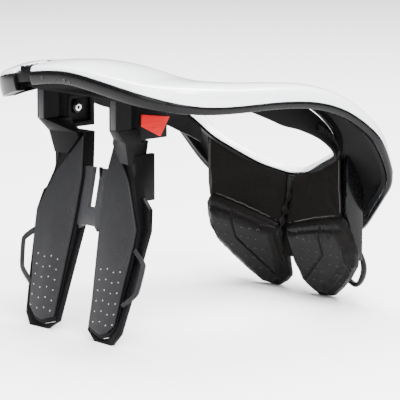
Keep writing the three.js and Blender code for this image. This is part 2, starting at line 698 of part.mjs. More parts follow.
function buildStrut(name, side) {
  const frame = solid(strutSlab(side, BODY_OUTLINE, FACE_THICKNESS + GAP, bodyDepth))
    .add(solid(loft(neckSections(side))))
    .add(boxAcross(side, [POST_X - WEB_WALL / 2, WEB_BACK, POST_BOTTOM - WEB_DROP],
      [POST_X + WEB_WALL / 2, WEB_FRONT, BEAM_BOTTOM - GAP]))
    .add(boxAcross(side, [FIN_X, FIN_BACK, FIN_BOTTOM], [FIN_X + FIN_WALL, FIN_FRONT, FIN_TOP]))
    .subtract(solid(strutSlab(side, grown(FACE_OUTLINE, GAP), -CUT_MARGIN, FACE_THICKNESS + GAP)));
  place(`strut_frame_${name}`, fromSolid(standing(frame)), "black");
  place(`strut_face_${name}`, strutSlab(side, FACE_OUTLINE, 0, FACE_THICKNESS), "grain");
  buildRimFlange(name, side);
  buildStrutLoop(name, side);
  buildPost(name, side);
  buildEar(name, side);
}

/** Box between two corners given for the right side, mirrored for the left. */
function boxAcross(side, low, high) {
  const [a, b] = [side * low[0], side * high[0]].sort((p, q) => p - q);
  return solid(block([a, low[1], low[2]], [b, high[1], high[2]]));
}

/** An outline pushed outwards by a clearance. */
function grown(outline, clearance) {
  const [wide, high] = [clearance / STRUT_HALF_WIDTH, clearance / STRUT_LENGTH];
  return outline.map(({ across, up }) => ({
    across: across + Math.sign(across + 0.08) * wide,
    up: up + Math.sign(up - 0.5) * high,
  }));
}

/** Depth at which the rubber edge starts, behind the strut's face. */
function edgeDepth(up) {
  return bodyDepth(up) - RIM_THICKNESS - GAP;
}

/** Rubber edge that runs round the lower part of the strut, behind its face. */
function buildRimFlange(name, side) {
  const ring = strutSlab(side, RIM_OUTLINE, (up) => edgeDepth(up) + GAP, bodyDepth);
  const inside = strutSlab(side, grown(BODY_OUTLINE, GAP), -CUT_MARGIN, STRUT_DEPTH + CUT_MARGIN);
  place(`strut_edge_${name}`, fromSolid(standing(solid(ring).subtract(solid(inside)))), "rubber");
}

/** Flat wire loop for the back strap, on the outer edge of the strut. */
function buildStrutLoop(name, side) {
  const path = STRUT_LOOP_PATH.map(({ across, up }) => strutPoint(side, across, up, STRUT_LOOP_DEPTH));
  const loop = solid(wire(path, STRUT_LOOP_WIRE / 2, 18));
  const body = solid(strutSlab(side, grown(BODY_OUTLINE, GAP), -CUT_MARGIN, STRUT_DEPTH + CUT_MARGIN));
  const edge = solid(strutSlab(side, grown(RIM_OUTLINE, GAP), edgeDepth, STRUT_DEPTH + CUT_MARGIN));
  place(`strut_loop_${name}`, fromSolid(loop.subtract(body).subtract(edge)), "grey");
}

/** Upright post that hangs from the rear beam and stands on the strut. */
function buildPost(name, side) {
  const post = boxAcross(side, [POST_X - POST_WIDTH / 2, POST_Y - POST_STEP, POST_BOTTOM],
    [POST_X + POST_WIDTH / 2, WEB_BACK - GAP, BEAM_BOTTOM - GAP]);
  place(`strut_post_${name}`, fromSolid(post), "grey");
}

/** Side ear with a pocket that holds a boss and the head of the clamping screw. */
function buildEar(name, side) {
  const [back, low] = [WEB_FRONT + GAP, POST_BOTTOM - EAR_DROP];
  const inner = POST_X - EAR_WALL / 2;
  const centre = new THREE.Vector3(0, back + EAR_LENGTH * BOSS_FORE, low + EAR_HEIGHT * BOSS_UP);
  const across = (x) => centre.clone().setX(side * x);
  const seat = inner + BOSS_SINK;
  const corner = [inner + EAR_WALL, back + EAR_LENGTH, low + EAR_HEIGHT];
  const ear = boxAcross(side, [inner, back, low], corner)
    .subtract(boxAcross(side, [inner - 1, back + EAR_FRAME, low + EAR_FRAME],
      [inner + EAR_POCKET, back + EAR_LENGTH - EAR_FRAME, low + EAR_HEIGHT - EAR_FRAME]))
    .add(solid(rod(across(seat), across(inner + EAR_POCKET + BOSS_PROUD), BOSS_RADIUS, 16)));
  place(`strut_ear_${name}`, fromSolid(ear), "black");
  const head = rod(across(seat - GAP - SCREW_LENGTH), across(seat - GAP), SCREW_RADIUS, 6);
  place(`ear_screw_${name}`, head, "steel");
}

/** Red cloth tab on the outside of the right ear. */
function buildPullTab() {
  const shape = shapeOf(TAB_OUTLINE.map(({ fore, up }) => [fore * EAR_LENGTH, up * EAR_HEIGHT]));
  const slab = new THREE.ExtrudeGeometry(shape, { depth: TAB_THICKNESS, bevelEnabled: false, steps: 1 });
  const tab = mapped(slab, ({ x, y, z }) => new THREE.Vector3(
    POST_X + EAR_WALL / 2 + GAP + z, WEB_FRONT + GAP + x, POST_BOTTOM - EAR_DROP + y));
  place("pull_tab", tab, "red");
}

/** Plate that ties the two struts together, with an arched foot and a slot between its arms. */
function buildBridge() {
  const [half, low, high] = [BRIDGE_HALF_WIDTH, BRIDGE_BOTTOM, BRIDGE_TOP];
  const [slot, floor, arch] = [half * BRIDGE_SLOT, low + BRIDGE_SLOT_FLOOR, low + BRIDGE_ARCH];
  const shape = shapeOf([
    [-half, low], [-half / 2, arch], [half / 2, arch], [half, low], [half, high],
    [slot, high], [slot, floor], [-slot, floor], [-slot, high], [-half, high],
  ]);
  const slab = new THREE.ExtrudeGeometry(shape, { depth: BRIDGE_WALL, bevelEnabled: false, steps: 1 });
  const back = STRUT_FOOT_Y + BRIDGE_DEPTH;
  let bridge = solid(mapped(slab, ({ x, y, z }) => new THREE.Vector3(x, back + STRUT_LEAN * y + z, y)));
  for (const [, side] of SIDES) {
    for (const outline of [BODY_OUTLINE, RIM_OUTLINE]) {
      const room = strutSlab(side, grown(outline, GAP), -CUT_MARGIN, STRUT_DEPTH + 2 * CUT_MARGIN);
      bridge = bridge.subtract(solid(room));
    }
  }
  place("strut_bridge", fromSolid(bridge), "grey");
}

// Chest

const mix = (low, high, t) => low * (1 - t) + high * t;

/** Value of a column of a table at a place between its rows. */
function look(table, key, column, at) {
  const next = Math.max(1, table.findIndex((row) => row[key] >= at));
  const [a, b] = [table[next - 1], table[next]];
  return mix(a[column], b[column], (at - a[key]) / (b[key] - a[key]));
}

/** Neck-side face of the liner. */
function linerY(x, z) {
  const t = Math.abs(x) / LINER_HALF_WIDTH;
  const centre = LINER_CENTRE_Y + (z - PAD_INNER_TOP) * LINER_CENTRE_LEAN;
  return mix(centre, LINER_OUTER_Y, t);
}

/** Back of the chest pads, which leans towards the neck as it rises. */
function padBackY(x, z) {
  return PAD_BACK_Y - PAD_BOW * Math.abs(x) - PAD_LEAN * z;
}

const padTop = (t) => mix(PAD_INNER_TOP, PAD_OUTER_TOP, Math.min(t, 1));
const linerTop = (t) => PAD_OUTER_TOP * (1 + look(LINER_TOP, "across", "rise", t));

function buildLiner(name, side, envelope) {
  const slab = new THREE.BoxGeometry(1, 1, 1, 8, 1, 5);
  const panel = mapped(slab, (p) => {
    const t = p.x + 0.5;
    const x = mix(SEAM_HALF_WIDTH, LINER_HALF_WIDTH, t);
    const low = padTop(t) + 2 * GAP;
    const z = mix(low, linerTop(x / LINER_HALF_WIDTH), p.z + 0.5);
    return new THREE.Vector3(side * x, linerY(x, z) + (p.y + 0.5) * LINER_WALL, z);
  });
  place(`neck_liner_${name}`, fromSolid(solid(panel).subtract(envelope)), "cloth");
}

function buildSeam(envelope) {
  const half = SEAM_HALF_WIDTH - GAP;
  const slab = new THREE.BoxGeometry(1, 1, 1, 1, 1, 8);
  const strip = mapped(slab, (p) => {
    const z = mix(PAD_INNER_TOP - SEAM_LAP, linerTop(0), p.z + 0.5);
    const y = linerY(0, z) - SEAM_PROUD + (p.y + 0.5) * (LINER_WALL + SEAM_PROUD);
    return new THREE.Vector3(p.x * 2 * half, y, z);
  });
  place("liner_seam", fromSolid(solid(strip).subtract(envelope)), "cloth");
}

/** Slab with a pad's outline; its body-side face starts lower, so that the top edge slopes. */
function padSlab(side, outline, near, far, slope) {
  const shape = shapeOf(outline.map(({ across, up }) => [across, up]));
  const slab = new THREE.ExtrudeGeometry(shape, { depth: 1, bevelEnabled: false, steps: 1 });
  return mapped(slab, ({ x, y, z }) => {
    const level = y - (1 - z) * slope * Math.max(0, (y - 0.6) / 0.4);
    const [wide, high] = [x * PAD_HALF_SPAN, level * PAD_OUTER_TOP];
    return new THREE.Vector3(side * wide, padBackY(wide, high) + near + z * (far - near), high);
  });
}

function buildPad(name, side) {
  place(`chest_pad_${name}`, padSlab(side, PAD_OUTLINE, -PAD_THICKNESS, 0, PAD_SLOPE), "cloth");
}

/** Front face of what the chest plate backs: the pad below and the liner above. */
function chestBackY(x, z) {
  return Math.max(padBackY(x, z), linerY(x, z) + LINER_WALL) + GAP;
}

/** Chest plate: a wall behind pad and liner, and a fin that runs forward at its outer edge. */
function buildChestPlate(name, side, envelope) {
  const inset = PAD_OUTLINE.map(({ across, up }) => ({
    across: mix(0.5, across, PLATE_SHARE), up: mix(0.5, up, PLATE_SHARE),
  }));
  const lower = padSlab(side, inset, GAP, CHEST_PLATE_WALL, 0);
  const wallTop = (x) => CHEST_RISE + linerTop(Math.min(x / LINER_HALF_WIDTH, 1));
  const upper = mapped(new THREE.BoxGeometry(1, 1, 1, 8, 1, 6), (p) => {
    const x = mix(2 * SEAM_HALF_WIDTH + 2, CHEST_PLATE_X, p.x + 0.5);
    const z = mix(padTop(x / LINER_HALF_WIDTH) - CHEST_LAP, wallTop(x), p.z + 0.5);
    return new THREE.Vector3(side * x, chestBackY(x, z) + (p.y + 0.5) * CHEST_PLATE_WALL, z);
  });
  const fin = mapped(new THREE.BoxGeometry(1, 1, 1, 1, 1, 8), (p) => {
    const x = CHEST_PLATE_X - CHEST_PLATE_WALL * (0.5 - p.x);
    const z = mix(COLLAR_HEIGHT * CHEST_FIN_FROM, wallTop(x) + CHEST_FIN_RISE, p.z + 0.5);
    return new THREE.Vector3(side * x, mix(chestBackY(x, z), CHEST_FORE_Y, p.y + 0.5), z);
  });
  const plate = solid(lower).add(solid(upper)).add(solid(fin)).subtract(envelope);
  place(`chest_plate_${name}`, fromSolid(plate), "satin");
  buildChestLoop(name, side, plate);
}

/** Flat loop for the chest strap, at the lower outer corner of the chest plate. */
function buildChestLoop(name, side, plate) {
  const path = CHEST_LOOP_PATH.map(({ across, fore, up }) => (
    new THREE.Vector3(side * across * CHEST_PLATE_X, fore * CHEST_FORE_Y, up * PAD_OUTER_TOP)));
  const loop = solid(wire(path, CHEST_LOOP_WIRE / 2, 18)).subtract(plate);
  place(`chest_loop_${name}`, fromSolid(loop), "satin");
}

buildCollar();
buildBeam();
for (const [name, side] of SIDES) {
  buildStrut(name, side);
}
buildBridge();
buildPullTab();
buildClosure();
buildGrips();
const frontEnvelope = collarEnvelope(10, 22);
for (const [name, side] of SIDES) {
  buildLiner(name, side, frontEnvelope);
  buildPad(name, side);
  buildChestPlate(name, side, frontEnvelope);
}
buildSeam(frontEnvelope);

// The origin is the middle of the whole brace on the floor
const bounds = new THREE.Box3().setFromObject(brace);
const middle = bounds.getCenter(new THREE.Vector3());
brace.position.set(-middle.x, -middle.y, -bounds.min.z);

export default brace;
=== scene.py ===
"""Motocross neck brace: finishes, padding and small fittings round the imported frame."""

import math

import bmesh
import bpy
from bpy.props import FloatProperty, FloatVectorProperty, PointerProperty
from mathutils import Matrix, Vector
from mathutils.bvhtree import BVHTree


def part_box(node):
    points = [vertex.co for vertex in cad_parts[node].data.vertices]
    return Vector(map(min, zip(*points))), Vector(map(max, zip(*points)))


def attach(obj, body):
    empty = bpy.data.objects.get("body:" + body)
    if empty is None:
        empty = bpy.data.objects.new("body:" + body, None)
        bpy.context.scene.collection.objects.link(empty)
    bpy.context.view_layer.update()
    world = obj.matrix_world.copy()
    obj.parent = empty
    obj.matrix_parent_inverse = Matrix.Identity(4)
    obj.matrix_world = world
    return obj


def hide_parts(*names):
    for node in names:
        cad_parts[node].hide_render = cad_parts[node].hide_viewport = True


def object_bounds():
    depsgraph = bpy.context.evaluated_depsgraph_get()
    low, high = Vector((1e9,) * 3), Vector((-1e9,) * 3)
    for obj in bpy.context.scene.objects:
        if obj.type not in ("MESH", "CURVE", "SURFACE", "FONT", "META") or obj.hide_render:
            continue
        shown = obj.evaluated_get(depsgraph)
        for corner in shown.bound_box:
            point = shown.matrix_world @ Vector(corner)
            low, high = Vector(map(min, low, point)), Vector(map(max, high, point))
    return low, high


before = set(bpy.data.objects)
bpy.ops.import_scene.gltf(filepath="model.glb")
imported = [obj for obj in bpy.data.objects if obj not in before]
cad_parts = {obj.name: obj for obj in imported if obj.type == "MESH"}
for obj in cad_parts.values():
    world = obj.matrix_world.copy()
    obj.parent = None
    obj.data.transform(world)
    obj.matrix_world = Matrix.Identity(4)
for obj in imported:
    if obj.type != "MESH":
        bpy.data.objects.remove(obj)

bl_info = {
    "name": "Motocross Neck Brace",
    "version": (1, 0, 0),
    "blender": (4, 5, 0),
    "location": "View3D > Sidebar > Brace",
    "description": "Dresses the frame of a neck brace with its finishes, padding and fittings",
    "category": "Add Mesh",
}

CAD_LOW, CAD_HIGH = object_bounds()
SIDES = (("right", 1), ("left", -1))
MM = 0.001
MERGE = 0.01 * MM

# Where a line of sight starts: in the neck opening, or this far off the brace
NECK_Y = 30 * MM
CLEAR = 50 * MM

# Stuffing of the padding: pressure, mass and how many frames it takes
PRESSURE = 6.0
CLOTH_MASS = 0.05
SWELL_FRAMES = 20

# Screw heads: top, rim round the socket and the socket's slope as shares of the radius, and
# the socket's depth as a share of the head's
HEAD_TOP, SOCKET_RIM, SOCKET_SLOPE, SOCKET_DEPTH = 0.94, 0.45, 0.04, 0.6

# The photo's camera: 400 pixels square, looking from the right rear and a little above
PHOTO_SIZE = 400
PHOTO_FOCAL = 2587
SENSOR = 36
AZIMUTH = math.radians(48)
ELEVATION = math.radians(10.08)
EYE = Vector((1.55703, -1.40108, 0.4647))
BACK = Vector((
    math.sin(AZIMUTH) * math.cos(ELEVATION), -math.cos(AZIMUTH) * math.cos(ELEVATION),
    math.sin(ELEVATION),
))
RIGHT = Vector((math.cos(AZIMUTH), math.sin(AZIMUTH), 0))
UP = BACK.cross(RIGHT)

# Places in the photo, in its pixels
RIM_SCREW_PIXELS = ((42, 77.5), (64, 80.6), (69, 82.9))
BRIDGE_LUG_PIXEL = (101, 172)


class BraceSizes(bpy.types.PropertyGroup):
    """Sizes of the edges, the padding and the small fittings."""

    edge: FloatProperty(
        name="Edge", description="Radius of a moulded edge", default=0.7 * MM, unit="LENGTH")
    voxel: FloatProperty(
        name="Voxel", description="Mesh size of padding", default=1.3 * MM, unit="LENGTH")
    pad_swell: FloatProperty(
        name="Pad swell", description="Most that a pad may swell", default=0.7 * MM, unit="LENGTH")
    liner_swell: FloatProperty(
        name="Liner swell", description="Most that the liner may swell", default=1.4 * MM,
        unit="LENGTH")
    band: FloatProperty(
        name="Band", description="Flat band round the raised face of a pad", default=4.5 * MM,
        unit="LENGTH")
    pad_rise: FloatProperty(
        name="Pad rise", description="Height of the raised face of a pad", default=4.5 * MM,
        unit="LENGTH")
    groove: FloatProperty(
        name="Groove", description="Depth of the groove in a pad", default=1.7 * MM, unit="LENGTH")
    piping: FloatProperty(
        name="Piping", description="Radius of the piping", default=0.5 * MM, unit="LENGTH")
    binding: FloatProperty(
        name="Binding", description="Radius of the liner's binding", default=0.6 * MM,
        unit="LENGTH")
    seam: FloatProperty(
        name="Seam", description="Half width of the twisted seam", default=3 * MM, unit="LENGTH")
    dot: FloatProperty(
        name="Dot", description="Radius of a printed dot on a strut", default=0.4 * MM,
        unit="LENGTH")
    hex_head: FloatProperty(
        name="Hex head", description="Radius of the clamping screw's head", default=3.5 * MM,
        unit="LENGTH")
    rim_screw: FloatProperty(
        name="Rim screw", description="Radius of a small screw at the rear", default=1.5 * MM,
        unit="LENGTH")


class BraceColours(bpy.types.PropertyGroup):
    """Colours of the plastics, the cloth and the floor."""

    shell: FloatVectorProperty(
        name="Shell", description="White of the collar", subtype="COLOR",
        default=(0.74, 0.755, 0.78))
    black: FloatVectorProperty(
        name="Black", description="Black of the moulded frame", subtype="COLOR",
        default=(0.0016, 0.0016, 0.0018))
    face: FloatVectorProperty(
        name="Face", description="Grey of strut faces and loops", subtype="COLOR",
        default=(0.0085, 0.0085, 0.0095))
    grey: FloatVectorProperty(
        name="Grey", description="Grey of posts and bridge", subtype="COLOR",
        default=(0.016, 0.016, 0.0175))
    rubber: FloatVectorProperty(
        name="Rubber", description="Rubber of edges and grips", subtype="COLOR",
        default=(0.0018, 0.0018, 0.002))
    cloth: FloatVectorProperty(
        name="Cloth", description="Dark brown cloth of the padding", subtype="COLOR",
        default=(0.0022, 0.0019, 0.0017))
    tab: FloatVectorProperty(
        name="Tab", description="Red of the pull tab", subtype="COLOR",
        default=(0.36, 0.002, 0.004))
    binding: FloatVectorProperty(
        name="Binding", description="Binding, piping and raised marks", subtype="COLOR",
        default=(0.02, 0.019, 0.018))
    floor: FloatVectorProperty(
        name="Floor", description="Pale studio floor", subtype="COLOR", default=(0.86, 0.86, 0.87))


def sizes():
    return bpy.context.scene.brace_sizes


def colours():
    return bpy.context.scene.brace_colours


# Shader groups


def new_group(name, inputs, outputs):
    """An empty shader group with named sockets, given as (name, kind, default)."""
    group = bpy.data.node_groups.new(name, "ShaderNodeTree")
    for label, kind, default in inputs:
        socket = group.interface.new_socket(label, in_out="INPUT", socket_type=f"NodeSocket{kind}")
        if default is not None:
            socket.default_value = default
    for label, kind in outputs:
        group.interface.new_socket(label, in_out="OUTPUT", socket_type=f"NodeSocket{kind}")
    return group


def node(tree, kind, links=None, **values):
    """Adds a node, sets its values and its input sockets, and returns it."""
    made = tree.nodes.new(f"ShaderNode{kind}" if not kind.startswith("Node") else kind)
    for key, value in values.items():
        setattr(made, key, value)
    for socket, source in (links or {}).items():
        if isinstance(source, bpy.types.NodeSocket):
            tree.links.new(source, made.inputs[socket])
        else:
            made.inputs[socket].default_value = source
    return made


def math_node(tree, operation, first, second=0.0):
    return node(tree, "Math", {0: first, 1: second}, operation=operation).outputs[0]


def spread(tree, factor, low, high):
    """Maps 0..1 to low..high, where low and high are numbers or sockets."""
    values = {"Value": factor, "To Min": low, "To Max": high}
    return node(tree, "MapRange", values).outputs["Result"]


def blend_colour(tree, factor, first, second):
    """Mixes two colours; a Mix node's colour sockets are inputs 6 and 7 and output 2."""
    mixed = node(tree, "Mix", data_type="RGBA")
    for socket, source in ((0, factor), (6, first), (7, second)):
        if isinstance(source, bpy.types.NodeSocket):
            tree.links.new(source, mixed.inputs[socket])
        else:
            mixed.inputs[socket].default_value = source
    return mixed.outputs[2]


def moulded_group():
    """Moulded plastic: fine pebble grain, drifting shade, and dust and rubbed spots scattered by a
    noise.
    """
    group = new_group(
        "Moulded plastic",
        [("Vector", "Vector", None), ("Colour", "Color", (0.1, 0.1, 0.1, 1)),
         ("Grain scale", "Float", 2000.0), ("Grain", "Float", 0.5), ("Roughness", "Float", 0.5),
         ("Dust", "Float", 0.1)],
        [("Colour", "Color"), ("Roughness", "Float"), ("Height", "Float")])
    into = node(group, "NodeGroupInput").outputs
    out = node(group, "NodeGroupOutput")
    pebbles = node(group, "TexVoronoi", {"Vector": into["Vector"], "Scale": into["Grain scale"]})
    fine = node(group, "TexNoise", {
        "Vector": into["Vector"], "Scale": into["Grain scale"], "Detail": 3.0})
    patches = node(group, "TexNoise", {
        "Vector": into["Vector"], "Scale": 28.0, "Detail": 5.0, "Roughness": 0.6})
    scuffs = node(group, "TexNoise", {
        "Vector": into["Vector"], "Scale": 160.0, "Detail": 8.0, "Distortion": 2.5})
    rubbed = node(group, "MapRange", {
        "Value": scuffs.outputs["Fac"], "From Min": 0.56, "From Max": 0.72})
    dust = math_node(group, "MULTIPLY", rubbed.outputs["Result"], into["Dust"])
    lighter = blend_colour(
        group, math_node(group, "MULTIPLY", patches.outputs["Fac"], into["Dust"]),
        into["Colour"], (0.32, 0.32, 0.33, 1))
    group.links.new(blend_colour(group, dust, lighter, (0.42, 0.41, 0.4, 1)), out.inputs["Colour"])
    drift = spread(group, patches.outputs["Fac"], -0.09, 0.09)
    worn = math_node(group, "MULTIPLY", rubbed.outputs["Result"], 0.12)
    rough = math_node(group, "ADD", math_node(group, "ADD", into["Roughness"], drift), worn)
    group.links.new(rough, out.inputs["Roughness"])
    grain = math_node(
        group, "ADD", math_node(group, "MULTIPLY", pebbles.outputs["Distance"], into["Grain"]),
        math_node(group, "MULTIPLY", fine.outputs["Fac"], 0.4))
    group.links.new(grain, out.inputs["Height"])
    return group


def weave_group():
    """Plain weave: threads that pass over and under each other, with loose fibres and a painted
    highlight on the raised threads.
    """
    group = new_group(
        "Woven cloth",
        [("Vector", "Vector", None), ("Colour", "Color", (0.1, 0.1, 0.1, 1)),
         ("Highlight", "Color", (0.2, 0.2, 0.2, 1)), ("Threads", "Float", 3000.0),
         ("Slant", "Float", 0.0)],
        [("Colour", "Color"), ("Roughness", "Float"), ("Height", "Float")])
    into = node(group, "NodeGroupInput").outputs
    out = node(group, "NodeGroupOutput")
    place = node(group, "SeparateXYZ", {"Vector": into["Vector"]}).outputs
    depth = math_node(group, "MULTIPLY", place["Y"], 0.6)
    tilt = math_node(group, "MULTIPLY", place["X"], into["Slant"])
    across = math_node(
        group, "MULTIPLY", math_node(group, "ADD", place["X"], depth), into["Threads"])
    along = math_node(
        group, "MULTIPLY", math_node(group, "ADD", math_node(group, "SUBTRACT", place["Z"], depth),
                                     tilt), into["Threads"])
    warp = math_node(group, "ABSOLUTE", math_node(group, "SINE", across))
    weft = math_node(group, "ABSOLUTE", math_node(group, "SINE", along))
    cross = math_node(
        group, "MULTIPLY", math_node(group, "SINE", math_node(group, "MULTIPLY", across, 0.5)),
        math_node(group, "SINE", math_node(group, "MULTIPLY", along, 0.5)))
    over = node(group, "MapRange", {"Value": cross, "From Min": -0.2, "From Max": 0.2}).outputs[0]
    threads = node(
        group, "Mix", {0: over, 2: warp, 3: weft}, data_type="FLOAT").outputs[0]
    fibres = node(group, "TexNoise", {"Vector": into["Vector"], "Scale": 2600.0, "Detail": 4.0})
    shades = node(group, "TexNoise", {"Vector": into["Vector"], "Scale": 45.0, "Detail": 4.0})
    # Painted highlight: the Highlight colour is laid on the raised threads, in patches set by two
    # noises
    lit = math_node(group, "MULTIPLY", threads, spread(group, shades.outputs["Fac"], 0.2, 0.9))
    lit = math_node(group, "MULTIPLY", lit, spread(group, fibres.outputs["Fac"], 0.3, 1.2))
    group.links.new(
        blend_colour(group, lit, into["Colour"], into["Highlight"]), out.inputs["Colour"])
    group.links.new(spread(group, threads, 0.98, 0.78), out.inputs["Roughness"])
    height = math_node(
        group, "ADD", threads, math_node(group, "MULTIPLY", fibres.outputs["Fac"], 0.35))
    group.links.new(height, out.inputs["Height"])
    return group


def finish(name, group, values, bump, coat=0.0, sheen=0.0, metallic=0.0, coat_roughness=0.1,
           specular=0.5, mapping=None):
    """A material that places a shader group, with its bump, on Object coordinates."""
    material = bpy.data.materials.new(name)
    material.use_nodes = True
    tree = material.node_tree
    shader = tree.nodes["Principled BSDF"]
    place = node(tree, "TexCoord").outputs["Object"]
    if mapping:
        place = node(tree, "Mapping", {"Vector": place, **mapping}).outputs["Vector"]
    effect = tree.nodes.new("ShaderNodeGroup")
    effect.node_tree = group
    tree.links.new(place, effect.inputs["Vector"])
    for key, value in values.items():
        effect.inputs[key].default_value = (*value, 1) if hasattr(value, "__len__") else value
    tree.links.new(effect.outputs["Colour"], shader.inputs["Base Color"])
    tree.links.new(effect.outputs["Roughness"], shader.inputs["Roughness"])
    relief = node(tree, "Bump", {"Height": effect.outputs["Height"], "Strength": 0.6,
                                 "Distance": bump})
    tree.links.new(relief.outputs["Normal"], shader.inputs["Normal"])
    shader.inputs["Metallic"].default_value = metallic
    shader.inputs["Coat Weight"].default_value = coat
    shader.inputs["Coat Roughness"].default_value = coat_roughness
    shader.inputs["Sheen Weight"].default_value = sheen
    shader.inputs["Specular IOR Level"].default_value = specular
    return material


FINISHES = {}


def make_finishes():
    """Every material of the brace, by the record's slot or by the small part's own name."""
    tone = colours()
    moulded, woven = moulded_group(), weave_group()
    # Colour, grain scale, grain, roughness, dust, bump depth, coat, coat roughness, specular level
    plastic = {
        "white_shell": (tone.shell, 700, 0.1, 0.17, 0.0, 0.012 * MM, 0.7, 0.04, 0.5),
        "black_plastic": (tone.black, 3200, 0.9, 0.42, 0.004, 0.06 * MM, 0.0, 0.3, 0.05),
        "satin_black": (tone.black, 1500, 0.15, 0.26, 0.004, 0.015 * MM, 0.08, 0.08, 0.07),
        "grained_plastic": (tone.face, 1500, 1.4, 0.44, 0.015, 0.12 * MM, 0.0, 0.3, 0.09),
        "grey_plastic": (tone.grey, 2400, 0.7, 0.4, 0.03, 0.05 * MM, 0.0, 0.3, 0.12),
        "rubber_edge": (tone.rubber, 2800, 0.5, 0.36, 0.005, 0.03 * MM, 0.0, 0.3, 0.05),
        "pad_foam": (tone.cloth, 1900, 1.0, 0.44, 0.006, 0.09 * MM, 0.0, 0.3, 0.05),
        "white_print": (tone.shell, 1800, 0.3, 0.5, 0.0, 0.02 * MM, 0.0, 0.3, 0.05),
    }
    for name, row in plastic.items():
        colour, scale, grain, rough, dust, bump, coat, coat_rough, specular = row
        FINISHES[name] = finish(
            name, moulded,
            {"Colour": colour, "Grain scale": scale, "Grain": grain, "Roughness": rough,
             "Dust": dust}, bump, coat=coat, coat_roughness=coat_rough, specular=specular)
    FINISHES["screw_steel"] = finish(
        "screw_steel", moulded,
        {"Colour": (0.62, 0.63, 0.65), "Grain scale": 900, "Grain": 0.2, "Roughness": 0.24,
         "Dust": 0.08}, 0.02 * MM, metallic=1.0, mapping={"Scale": (1, 1, 9)})
    # Colour, painted highlight, threads, slant, bump depth, sheen
    cloths = {
        "dark_cloth": (tone.cloth, (0.0085, 0.0078, 0.007), 2600, 0.0, 0.25 * MM, 0.0),
        "red_cloth": (tone.tab, (0.6, 0.006, 0.009), 3600, 1.0, 0.25 * MM, 0.1),
        "binding_cloth": (tone.binding, (0.05, 0.047, 0.045), 3600, 0.0, 0.2 * MM, 0.05),
    }
    for name, (colour, light, threads, slant, bump, sheen) in cloths.items():
        FINISHES[name] = finish(
            name, woven, {"Colour": colour, "Highlight": light, "Threads": threads, "Slant": slant},
            bump, sheen=sheen, specular=0.03)


# Mesh helpers


def shape_of(name):
    """A merged copy of a CAD node's mesh."""
    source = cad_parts[name]
    shape = bmesh.new()
    shape.from_mesh(source.data)
    shape.transform(source.matrix_world)
    bmesh.ops.remove_doubles(shape, verts=shape.verts, dist=MERGE)
    return shape


def flatten_faces(shape, angle=1.0):
    """Joins the triangles of each flat face."""
    bmesh.ops.dissolve_limit(
        shape, angle_limit=math.radians(angle), verts=shape.verts, edges=shape.edges,
        use_dissolve_boundaries=False, delimit=set())


def join_quads(shape):
    """Joins the triangle pairs of a lofted skin."""
    bmesh.ops.join_triangles(
        shape, faces=shape.faces, angle_face_threshold=math.radians(50),
        angle_shape_threshold=math.radians(70))


def round_edges(shape, width, angle, segments=2):
    """Bevels every edge sharper than an angle."""
    sharp = [e for e in shape.edges
             if len(e.link_faces) == 2 and e.calc_face_angle() > math.radians(angle)]
    bmesh.ops.bevel(
        shape, geom=sharp, offset=width, offset_type="OFFSET", segments=segments, profile=0.5,
        affect="EDGES", clamp_overlap=True, material=-1)


def piece(shape, name, slot, finish_name=None, replaced=(), smooth_angle=40):
    """Turns a bmesh into a finished piece that rides on the brace."""
    mesh = bpy.data.meshes.new(name)
    shape.to_mesh(mesh)
    shape.free()
    mesh.materials.append(FINISHES[finish_name or slot])
    mesh.shade_smooth()
    mesh.set_sharp_from_angle(angle=math.radians(smooth_angle))
    made = bpy.data.objects.new(name, mesh)
    bpy.context.collection.objects.link(made)
    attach(made, "root")
    if replaced:
        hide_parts(*replaced)
    return made


def rounded(made, levels):
    """Adds a subdivision surface to a piece."""
    skin = made.modifiers.new("rounding", "SUBSURF")
    skin.levels = skin.render_levels = levels
    return made


def baked(made):
    """Puts what the modifiers make into the piece's own mesh."""
    graph = bpy.context.evaluated_depsgraph_get()
    mesh = bpy.data.meshes.new_from_object(made.evaluated_get(graph))
    made.modifiers.clear()
    made.data = mesh
    mesh.shade_smooth()
    return made


def overlay(source, name, slot, chosen, lift):
    """A thin skin over those faces of a CAD node that a test chooses."""
    shape = shape_of(source)
    spare = [face for face in shape.faces if not chosen(face)]
    bmesh.ops.delete(shape, geom=spare, context="FACES")
    made = bmesh.ops.extrude_face_region(shape, geom=shape.faces[:])["geom"]
    for vert in [v for v in made if isinstance(v, bmesh.types.BMVert)]:
        vert.co += vert.normal * lift
    bmesh.ops.recalc_face_normals(shape, faces=shape.faces)
    return piece(shape, name, slot)


def moulding(source, name, slot, width, angle=30, lift=0.0):
    """Finishes a CAD node with its own shape and rounded edges, and can raise or lower it."""
    shape = shape_of(source)
    flatten_faces(shape)
    bmesh.ops.translate(shape, vec=(0, 0, lift), verts=shape.verts)
    round_edges(shape, width, angle)
    return piece(shape, name, slot, replaced=[source])


def block(size, middle, name, slot, finish_name=None, edge=0.6 * MM):
    """A small cuboid with rounded edges; its size is in millimetres."""
    shape = bmesh.new()
    made = bmesh.ops.create_cube(shape, size=1)["verts"]
    bmesh.ops.scale(shape, vec=Vector(size) * MM, verts=made)
    bmesh.ops.translate(shape, vec=middle, verts=made)
    round_edges(shape, edge, 30)
    return piece(shape, name, slot, finish_name)


def tree_of(made):
    """Search tree of a piece's finished surface."""
    graph = bpy.context.evaluated_depsgraph_get()
    return BVHTree.FromObject(made, graph)


def solids_tree(*names):
    """Search tree of some CAD nodes together."""
    whole = bmesh.new()
    for name in names:
        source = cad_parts[name]
        start = len(whole.verts)
        whole.from_mesh(source.data)
        whole.verts.ensure_lookup_table()
        bmesh.ops.transform(whole, matrix=source.matrix_world, verts=whole.verts[start:])
    tree = BVHTree.FromBMesh(whole)
    whole.free()
    return tree


